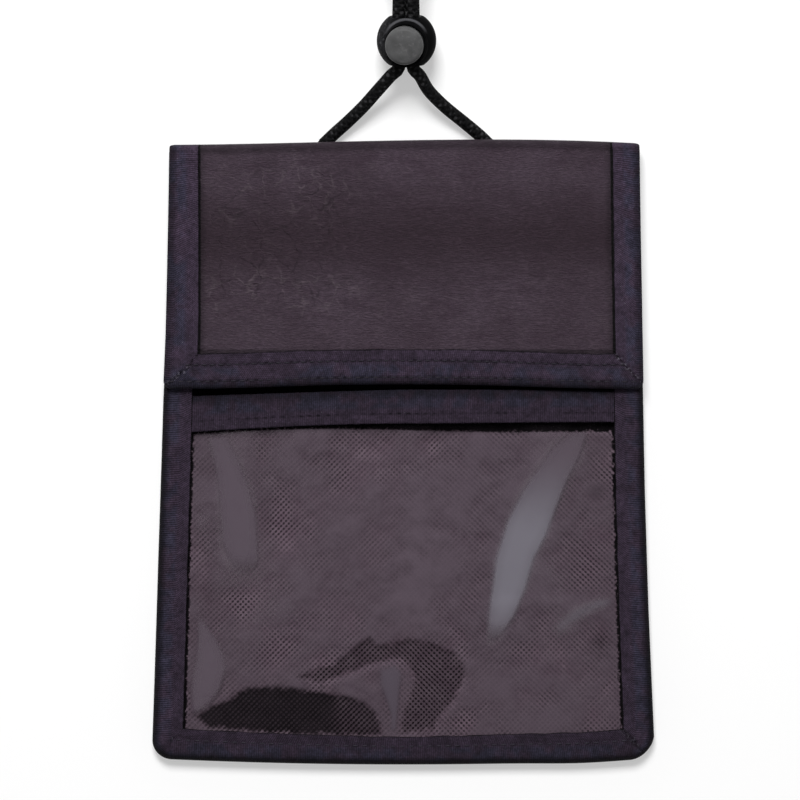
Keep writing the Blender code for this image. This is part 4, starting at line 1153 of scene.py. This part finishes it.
def mark_window(piece, creased):
    """Gives a sheet behind the strip what its material reads: cling, crease and the sewn edges' painted
    shade are distances in mm, above zero inside, and the rest are shares. shade is painted shadow under
    the strip, and crease, strong and whiter place the painted reflection over the vinyl's creases."""
    x, y = places_of(piece)
    clings = [signed_distance(x, y, outline) for outline in (LOW_CLING, ARCH_CLING)]
    under_strip = smooth((x + 30 * MM) / (40 * MM)) * smooth((53 * MM - x) / (12 * MM))
    marks = {"cling": np.maximum(*clings),
             "deep": smooth(clings[0] / 2 + 1) * (0.40 + 0.60 * smooth((-15 * MM - x) / (5 * MM))),
             "lit": window_light(x, y), "seam_shade": -inward(x, y),
             "shade": smooth(1 - (strip_bottom(x) - y) / (5.5 * MM)) * under_strip}
    # The painted reflection over the vinyl's creases, on the vinyl only.
    if creased:
        creases = [signed_distance(x, y, outline) for outline in (RIGHT_CREASE_GLARE, LEFT_CREASE_GLARE, LOW_CREASE_GLARE)]
        faint = [signed_distance(x, y, outline) for outline in (SMALL_CREASE_GLARE, COLUMN_CREASE_GLARE, ARC_CREASE_GLARE)]
        marks["crease"] = np.max([*creases, *faint], axis=0)
        ends = [smooth((y + 51 * MM) / (9 * MM)), smooth((y + 33 * MM) / (8 * MM)), np.ones(len(x))]
        starts = smooth((7.5 * MM - y) / (5 * MM)) * 0.6 + 0.4
        firm = [end * starts * smooth((depth + 3) / 2) for end, depth in zip(ends, creases)]
        soft = [share * smooth((depth + 1.2) / 2.6) for share, depth in zip((0.55, 0.85, 0.65), faint)]
        marks["strong"] = np.max([*firm, *soft], axis=0)
        marks["whiter"] = (smooth((x - 10 * MM) / (10 * MM)) * smooth((2 * MM - y) / (24 * MM))
                           * smooth((y + 54 * MM) / (18 * MM)))
        marks["whiter"] = np.maximum(marks["whiter"], 0.34 * smooth(faint[1] + 1))
    for name, values in marks.items():
        mark(piece, name, values)


def vinyl_relief(x, y):
    """The vinyl's waves: its slope across is drawn by the creases, summed from the left edge, and levelled
    so that both edges stay down."""
    worn_x, worn_y = worn(x, y)
    inside = [smooth(signed_distance(worn_x, worn_y, outline) / 3 + 0.5)
              for outline in (LEFT_CREASE_GLARE, LOW_CREASE_GLARE, RIGHT_CREASE_GLARE, SMALL_CREASE_GLARE)]
    slope = 0.045 * (inside[0] + inside[1] - inside[2] - inside[3]) + 0.006 * waves(x, y, 22 * MM, 21)
    step = np.diff(x, axis=1)
    risen = np.cumsum((slope[:, 1:] + slope[:, :-1]) / 2 * step, axis=1)
    height = np.concatenate([0 * x[:, :1], risen], axis=1)
    share = (x - x[:, :1]) / (x[:, -1:] - x[:, :1])
    height = height - height[:, -1:] * share
    sides = smooth((HALF_WIDTH - BODY_LEG - np.abs(x)) / (5 * MM))
    ends = smooth((y + HALF_LENGTH - BODY_LEG) / (8 * MM)) * smooth((14 * MM - y) / (8 * MM))
    return height * sides * ends


def leather_flap(finish):
    """The leatherette in one piece: up the flap, half round the roll over the top edge and down inside.
    It narrows where it leaves the flap's binding, and again inside, between the body's tapes."""
    half = HALF_WIDTH - EDGE_INSET
    flat = np.linspace(HEM_Y + EDGE_INSET, HINGE_Y, 84)
    turn = np.linspace(0, math.pi, 26)[1:]
    tail = np.linspace(0, TAIL_LENGTH, 12)[1:]
    y = np.concatenate([flat, HINGE_Y + ROLL_RADIUS * np.sin(turn), HINGE_Y - tail])[:, None]
    z = np.concatenate([0 * flat + LEATHER_TOP, HINGE_Z + ROLL_RADIUS * np.cos(turn),
                        0 * tail + HINGE_Z - ROLL_RADIUS])[:, None]
    tail_start = HINGE_Y + ROLL_RADIUS * math.pi
    path = np.concatenate([flat, HINGE_Y + ROLL_RADIUS * turn, tail_start + tail])[:, None]
    share = np.linspace(-1, 1, 160)[None]
    narrow = smooth((path - HINGE_Y) / (1.2 * MM))
    inside = smooth((path - tail_start) / (0.7 * MM))
    bound = FLAP_SIDE_LEG * np.where(share < 0, left_wider(y), 1.0) + 0.04 * MM - 1.6 * MM * inside
    x = share * (half - narrow * (bound - EDGE_INSET))
    on_flap = smooth((HINGE_Y - path) / (6 * MM))
    waved = flap_swell(x, y) + 0.10 * MM * np.abs(waves(x, y, 26 * MM, 5)) * on_flap
    sides = smooth((HALF_WIDTH - FLAP_SIDE_LEG - np.abs(x)) / (6 * MM))
    z = z + waved * sides
    worn_x, worn_y = worn(x, y)
    piece = skin("leather_flap", grid(worn_x, worn_y, z), grid(x, path), LEATHER, finish, flip=True)
    sewn_sheet(worn_x, path[:, 0])
    return piece


def rolled_binding(name, side, finish):
    """The flap's binding over the roll: its front leg, and its side closed to the fold."""
    reach = FLAP_TOP - HINGE_Z
    leg = np.linspace(FLAP_SIDE_LEG, TAPE_FOLD, 12)[:-1]
    quarter = np.linspace(math.pi / 2, 0, 9)
    inset = np.concatenate([leg, TAPE_FOLD * (1 - np.cos(quarter))])[:, None]
    least = TAPE / reach
    rise = np.concatenate([0 * leg + 1, least + (1 - least) * np.sin(quarter)])[:, None]
    turn = np.linspace(0, math.pi, 30)[None]
    x = side * (HALF_WIDTH - inset * (left_wider(HALF_LENGTH) if side < 0 else 1.0)) + 0 * turn
    y = HINGE_Y + rise**0.3 * ROLL_RADIUS * np.sin(turn)
    z = HINGE_Z + rise * reach * np.cos(turn)
    across = np.concatenate([FOLD_QUARTER + leg - TAPE_FOLD, quarter / (math.pi / 2) * FOLD_QUARTER])[:, None]
    return skin(name, grid(*worn(x, y), z), grid(turn * reach, across), TAPE, finish, flip=side < 0)


def fastener(name, top, height, thickness, finish, under):
    """A strip of hook or loop tape, its pile side a little uneven."""
    bottom = HEM_Y + PATCH_RISE
    x = np.linspace(-PATCH_HALF, PATCH_HALF, 110)[None]
    y = np.linspace(bottom, bottom + PATCH_WIDTH, 40)[:, None]
    fuzz = 0.06 * MM * np.abs(waves(x, y, 1.5 * MM, 31))
    z = top + height(x, y) + (0 if under else fuzz)
    return skin(name, grid(*worn(x, y), z), grid(x, y), thickness, finish, flip=True)


def sewn_end(name, exit_place, angle, finish):
    """The cord's end pressed flat in the seam, and opening to its round where it comes out."""
    along = np.array([13, 12.6, 9, 5, 2.6, 1.6, 0.8, 0.25]) * MM
    out = np.array([-math.sin(angle), -math.cos(angle), 0])
    path = np.array([*exit_place, 0]) + along[:, None] * out
    path[:, 2] = np.interp(along, [0.25 * MM, 2.6 * MM], [CORD_Z + GAP, 1.8 * MM])
    path = even_path(path, 0.4 * MM)
    here = np.linalg.norm(path[:, :2] - path[-1, :2], axis=1)
    wide = np.interp(here, np.array([0, 3.4, 6, 12.2, 12.8]) * MM, [1.5, 1.6, 2.5, 2.5, 2.2]) * MM
    high = np.interp(here, [0, 2.4 * MM, 12.2 * MM, 12.8 * MM], [1.35, 0.5, 0.5, 0.35]) * MM
    return tube(name, path, 1.0, 24, finish, (wide, high))


def tie_band(finish):
    """A strap round the hank's waist: a rounded rectangle carried round, its section rounded too."""
    half = HANK_STEP * (HANK_REVERSAL + 1 / 2) + CORD_RADIUS + GAP + TIE_THICKNESS / 2
    lift = CORD_Z + TIE_THICKNESS + GAP
    low = lift - CORD_RADIUS - GAP - TIE_THICKNESS / 2
    high = lift + HANK_LAYER + CORD_RADIUS + GAP + TIE_THICKNESS / 2
    radius = TIE_CORNER + TIE_THICKNESS / 2
    turn = np.linspace(0, math.tau, 48, endpoint=False)
    corner_x = np.where(np.cos(turn) > 0, half - radius, radius - half)
    corner_z = np.where(np.sin(turn) > 0, high - radius, low + radius)
    path = grid(corner_x + radius * np.cos(turn), 0.0, corner_z + radius * np.sin(turn))
    away = grid(np.cos(turn), 0.0, np.sin(turn))
    section = np.linspace(0, math.tau, 20, endpoint=False)
    wide = np.sign(np.cos(section)) * np.abs(np.cos(section)) ** 0.25 * TIE_WIDTH / 2
    thick = np.sign(np.sin(section)) * np.abs(np.sin(section)) ** 0.5 * TIE_THICKNESS / 2
    middle = np.array([0, HANK_START + HANK_RUN / 2, 0])
    points = (middle + path[:, None] + away[:, None] * thick[None, :, None]
              + np.array([0, 1, 0]) * wide[None, :, None])
    points = np.concatenate([points, points[:1]])
    uv = grid(wide[None], lengths_along(points[:, 0])[:, None])
    piece = make_mesh("tie_band", points, grid_faces(*points.shape[:2], closed=True).tolist(), uv, finish)
    weld(piece, outward=True)
    return piece


def lathed(name, profile, sides, finish, centre=(0, 0)):
    """A solid of revolution from (radius, height) points, in the lock's own frame. Its part within 6 mm of
    the axis is about centre, the rest about the axis."""
    profile = np.array(profile) * MM
    turn = np.linspace(0, math.tau, sides, endpoint=False)
    moved = smooth((6.0 * MM - profile[:, :1]) / (0.35 * MM)) * (profile[:, 1:] > -8 * MM) * MM
    points = grid(profile[:, :1] * np.cos(turn) + centre[0] * moved,
                  profile[:, :1] * np.sin(turn) + centre[1] * moved, profile[:, 1:])
    piece = make_mesh(name, points, grid_faces(len(profile), sides, closed=True).tolist(), None, finish)
    weld(piece, outward=True)
    return piece


def quarter_round(radius, height, size, first, last, count=7):
    """Profile points round an arc of the given size about (radius, height), from angle first to last."""
    turn = np.radians(np.linspace(first, last, count))
    return list(zip(radius + size * np.cos(turn), height + size * np.sin(turn)))


def obround_bar(name, low, high, length):
    """A cutter along Y, from low to high, its sides rounded, in mm."""
    half, size, count = 3.7, 1.9, 48
    turn = np.linspace(0, math.tau, count, endpoint=False)
    x = np.where(np.cos(turn) > 0, half - size, size - half) + size * np.cos(turn)
    z = np.where(np.sin(turn) > 0, high - size, low + size) + size * np.sin(turn)
    ends = [grid(x, y, z) for y in (-length / 2, length / 2)]
    points = np.stack(ends) * MM
    sides = grid_faces(2, count, closed=True).tolist()
    piece = make_mesh(name, points, sides + [list(range(count)), list(range(2 * count - 1, count - 1, -1))])
    weld(piece, outward=True)
    return piece


def block(name, low, high):
    """A box from corner low to corner high, in mm."""
    corners = np.array([[(low, high)[bit >> axis & 1][axis] for axis in range(3)] for bit in range(8)]) * MM
    faces = [[0, 2, 3, 1], [4, 5, 7, 6], [0, 1, 5, 4], [2, 6, 7, 3], [0, 4, 6, 2], [1, 3, 7, 5]]
    piece = make_mesh(name, corners, faces)
    weld(piece, outward=True)
    return piece


def cut_away(piece, cutters):
    """The piece with the cutters' room taken out, its edges kept crisp, set in the lock's place."""
    for cutter in cutters:
        taken = piece.modifiers.new("cut", "BOOLEAN")
        taken.object = cutter
        taken.solver = "EXACT"
    settle(piece)
    for cutter in cutters:
        bpy.data.objects.remove(cutter, do_unlink=True)
    piece.data.transform(LOCK_PLACE)
    piece.data.shade_smooth()
    piece.data.set_sharp_from_angle(angle=math.radians(38))
    return piece


def barrel(finish):
    """The lock's housing: a lathed barrel with a collar, flats, the cord's slot and the button's bore."""
    side = []
    for height in np.linspace(3.4, -8.5, 22)[1:-1]:
        fall = (height + 2.0) / (5.4 if height > -2 else -6.5)
        side.append((7.55 - (1.6 if height > -2 else 1.85) * fall**2, height))
    profile = [(0, -7.6), (4.95, -7.6), (4.95, 4.2), (5.1, 4.6), *quarter_round(5.2, 4.6, 0.2, 170, 90, 4),
               *quarter_round(5.4, 4.45, 0.35, 90, 0), (5.75, 3.9),
               *quarter_round(6.0, 3.75, 0.25, 180, 230, 4), (5.95, 3.4), *side,
               *quarter_round(5.2, -8.5, 0.5, 0, -90), (0, -9.0)]
    piece = lathed("lock_barrel", profile, 96, finish, (0.05, -0.45))
    near = block("near", (-12, -18, -12), (12, -6.1, 8))
    far = block("far", (-12, 6.1, -12), (12, 18, 8))
    return cut_away(piece, [near, far, obround_bar("slot", -1.9, 1.9, 20)])


def button(finish):
    """The push button and its stem: a lightly domed top with a broad rounded edge."""
    top = [(radius, 7.55 - 0.32 * (radius / 3.6) ** 2) for radius in np.linspace(0, 3.5, 9)]
    profile = [*top, *quarter_round(3.60, 5.98, 1.25, 88, 0, 11), (4.85, 5.0), (4.85, -3.6), (0, -3.6)]
    piece = lathed("lock_button", profile, 96, finish, (0.0, -0.50))
    return cut_away(piece, [obround_bar("stem slot", -1.9, 4.1, 20)])


def coil(finish):
    """The spring under the button: three turns of wire in the lock's own frame."""
    turn = np.linspace(0, COIL_TURNS * math.tau, 145)
    rise = COIL_LOW + COIL_HEIGHT * turn / turn[-1]
    path = grid(COIL_RADIUS * np.cos(turn), COIL_RADIUS * np.sin(turn), rise)
    piece = tube("lock_coil", path, COIL_WIRE, 10, finish)
    piece.data.transform(LOCK_PLACE)
    return piece


# Light and ground


def area_light(name, place, target, size, power):
    """A rectangular lamp at place, turned to target."""
    data = bpy.data.lights.new(name, "AREA")
    data.shape = "RECTANGLE"
    data.size, data.size_y = size
    data.energy = power
    lamp = bpy.data.objects.new(name, data)
    lamp.location = place
    lamp.rotation_euler = (Vector(target) - Vector(place)).to_track_quat("-Z", "Y").to_euler()
    bpy.context.scene.collection.objects.link(lamp)


def seen_directly(tree):
    """1 for camera, glossy and transmitted rays."""
    path = add_node(tree, "LightPath", {}, {}).outputs
    total = path["Is Camera Ray"]
    for name in ("Is Glossy Ray", "Is Transmission Ray"):
        total = add_node(tree, "Math", {"operation": "MAXIMUM"}, {0: total, 1: path[name]}).outputs[0]
    return total


def light_studio():
    """A white room that fades upwards, a key lamp from beyond the top edge, and a strip on each side."""
    world = bpy.data.worlds.new("studio")
    bpy.context.scene.world = world
    world.use_nodes = True
    tree = world.node_tree
    direction = add_node(tree, "TexCoord", {}, {}).outputs["Generated"]
    parts = add_node(tree, "SeparateXYZ", {}, {0: direction})
    limits = {"From Min": 0.08, "From Max": 0.55, "To Min": 1.0, "To Max": 0.10}
    strength = add_node(tree, "MapRange", {"interpolation_type": "SMOOTHSTEP"},
                        {"Value": parts.outputs["Z"], **limits})
    ground = tree.nodes["Background"]
    connect(tree, ground.inputs["Strength"], strength.outputs[0])
    connect(tree, ground.inputs["Color"], (1, 1, 1, 1))
    area_light("key", (-0.12, 0.85, 1.2), (0, 0, 0), (0.55, 0.55), 24)
    for name, x, power in (("left strip", -STRIP_LIGHT_X, 0.28), ("right strip", STRIP_LIGHT_X, 0.30)):
        area_light(name, (x, -0.02, 1.25), (x, -0.02, 0), (0.17, 0.8), power)
    bpy.context.scene.view_settings.view_transform = "Standard"


def lay_ground():
    """White paper that keeps the shadow near the object and glows to pure white away from it."""
    points = 3.0 * np.array([(-1, -1, 0), (1, -1, 0), (1, 1, 0), (-1, 1, 0)])
    paper = bpy.data.materials.new("paper")
    paper.use_nodes = True
    tree = paper.node_tree
    tree.nodes.clear()
    diffuse = add_node(tree, "BsdfDiffuse", {}, {"Color": (0.97, 0.97, 0.97, 1)})
    glow = add_node(tree, "Emission", {}, {})
    place = add_node(tree, "TexCoord", {}, {}).outputs["Object"]
    away = add_node(tree, "VectorMath", {"operation": "LENGTH"}, {0: place}).outputs["Value"]
    limits = {"From Min": NEAR_GROUND, "From Max": FAR_GROUND, "To Min": NEAR_GLOW, "To Max": FAR_GLOW}
    strength = add_node(tree, "MapRange", {}, {"Value": away, **limits})
    seen = seen_directly(tree)
    share = add_node(tree, "Math", {"operation": "MULTIPLY"}, {0: seen, 1: strength.outputs[0]})
    mixed = add_node(tree, "MixShader", {}, {0: share.outputs[0], 1: diffuse.outputs[0], 2: glow.outputs[0]})
    add_node(tree, "OutputMaterial", {}, {"Surface": mixed.outputs[0]})
    make_mesh("floor", points, [[0, 1, 2, 3]], None, paper)


# Making it


def on_body(piece, body, *nodes, slot=None):
    """A piece that moves with one body, in place of the given nodes."""
    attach(piece, body)
    if nodes:
        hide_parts(*nodes)
    return piece


def roll_with_flap(piece, *nodes, slot):
    """A piece of the roll, in place of the given nodes: its place is made part of its mesh."""
    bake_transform(piece)
    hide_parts(*nodes)


def level(height):
    """A flat sheet's height."""
    return lambda x, y: height + 0 * x


def dress_lock(steel):
    """The cord lock: its housing, its button, and the spring that presses together under it."""
    black = moulded_plastic("black plastic", BLACK_PLASTIC, 0.42, gloss=0.002, side_light=14.0,
                            rim_highlight=18.0)
    grey = moulded_plastic("grey plastic", GREY_PLASTIC, 0.45, gloss=0.12, side_light=-0.5)
    on_body(barrel(black), "cord_lock", "lock_housing", slot="black plastic")
    on_body(button(grey), "lock_button", "lock_plunger", slot="grey plastic")
    spring = on_body(coil(steel), "cord_lock", "lock_spring", slot="spring steel")
    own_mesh(spring)


def lay_cord(braid, strap):
    """The cord with its sewn ends and its hank's tie."""
    path = cord_path()
    pressed = 1 + 0.08 * bump(np.maximum(np.abs(path[:, 1] - 112 * MM) - 10 * MM, 0), 4 * MM)
    cord = tube("neck_cord", path, CORD_RADIUS, 20, braid, (pressed, 1 / pressed))
    on_body(cord, "wallet", "neck_cord_left", "neck_cord_right", "neck_cord_hank", slot="black braid")
    tie = on_body(tie_band(strap), "wallet", "hank_tie", slot="fastener tape")
    for side, *seam in (("left", LEFT_EXIT, LEFT_TAB_ANGLE), ("right", RIGHT_EXIT, RIGHT_TAB_ANGLE)):
        end = sewn_end("sewn_end_" + side, *seam, braid)
        on_body(end, "wallet", "cord_end_" + side, slot="black braid")


aim_camera()
light_studio()
lay_ground()

body_tape = ribbed_tape("body tape", [], row_across(BODY_EDGE, 1), hem_span(BODY_EDGE),
                        deep=0.86, fold_shade=0.85, dark_hem=0.24)
flap_tape = ribbed_tape("flap tape", [row_across(FLAP_EDGE, row) for row in FLAP_ROWS],
                        row_across(FLAP_EDGE, 1), hem_span(FLAP_EDGE), deep=1.06, dark_hem=0.16)
strip_tape = ribbed_tape("strip tape", [FOLD_QUARTER + STRIP_ROW * STRIP_LEG], deep=0.72)
plain_tape = ribbed_tape("plain tape", [])
leather = leatherette()
dots = dotted_cloth()
vinyl = clear_vinyl()
lining = plain_cloth("lining cloth", LINING, 0.5 * MM)
sewing = thread("thread", THREAD_TOP)
sunk_sewing = thread("sunk thread", THREAD_SUNK)
pile = fastener_pile("pile", 0.6 * MM)

dress_lock(drawn_steel())
lay_cord(braided_cord("black braid"), fastener_pile("strap", 0.45 * MM))

low = EDGE_INSET - HALF_LENGTH
corner = BODY_CORNER - EDGE_INSET
back = between_bindings("back_cloth", low, HINGE_Y - GAP, level(BACK_PANEL_TOP), TAPE, dots, corner, 1.6 * MM)
on_body(back, "wallet", "back_panel", slot="dotted fabric")
front = between_bindings("front_cloth", low, MOUTH_Y - EDGE_INSET,
                         lambda x, y: FRONT_PANEL_TOP + mouth_height(x, y), TAPE, dots, corner, 1.2 * MM)
mark_window(front, False)
on_body(front, "wallet", "front_panel", slot="dotted fabric")
window = between_bindings("vinyl_window", low, STRIP_TOP_Y - EDGE_INSET - MM,
                          lambda x, y: VINYL_TOP + strip_height(x, y), THIN_SHEET, vinyl, corner, 0.7 * MM,
                          vinyl_relief)
mark_window(window, True)
on_body(window, "wallet", "window_sheet", slot="clear vinyl")
body_edge = bound_edge("body_tape", BODY_EDGE, BODY_ROWS, body_tape)
on_body(body_edge, "wallet", "body_binding", slot="ribbed tape")
on_body(edge_stitches("body_stitches", BODY_EDGE, BODY_ROWS, sunk_sewing), "wallet", slot="ribbed tape")
mouth = tape_over_top("mouth_tape", lambda x: MOUTH_Y + 0 * x, lambda x: MOUTH_Y - MOUTH_WIDTH + 0 * x,
                      MOUTH_LOW, MOUTH_TOP, mouth_height, plain_tape, (), 41)
on_body(mouth, "wallet", "mouth_binding", slot="ribbed tape")
strip = tape_over_top("window_tape", strip_top, strip_bottom, STRIP_LOW, BODY_TOP, strip_height, strip_tape,
                      (STRIP_ROW,), 43)
on_body(strip, "wallet", "window_binding", slot="ribbed tape")
on_body(strip_stitches(sewing), "wallet", slot="ribbed tape")
on_body(fastener("loops", LOOP_TOP, mouth_height, FASTENER, pile, False), "wallet", "loop_patch",
        slot="fastener tape")
on_body(fastener("hooks", HOOK_TOP, flap_swell, FASTENER, pile, True), "flap", "hook_patch",
        slot="fastener tape")

flap_low = HEM_Y + EDGE_INSET
flap_lining = between_bindings("flap_lining_cloth", flap_low, HINGE_Y - GAP,
                               lambda x, y: LINING_TOP + flap_swell(x, y), THIN_SHEET, lining, 0, 1.6 * MM)
on_body(flap_lining, "flap", "flap_lining", slot="lining cloth")
roll_with_flap(leather_flap(leather), "flap_panel", "flap_fold", slot="leatherette")
flap_edge = bound_edge("flap_tape", FLAP_EDGE, FLAP_ROWS, flap_tape)
on_body(flap_edge, "flap", "flap_binding", slot="ribbed tape")
on_body(edge_stitches("flap_stitches", FLAP_EDGE, FLAP_ROWS, sewing), "flap", slot="ribbed tape")
roll_with_flap(rolled_binding("rolled_tape_left", -1, plain_tape), "fold_binding_left", slot="ribbed tape")
roll_with_flap(rolled_binding("rolled_tape_right", 1, plain_tape), "fold_binding_right", slot="ribbed tape")
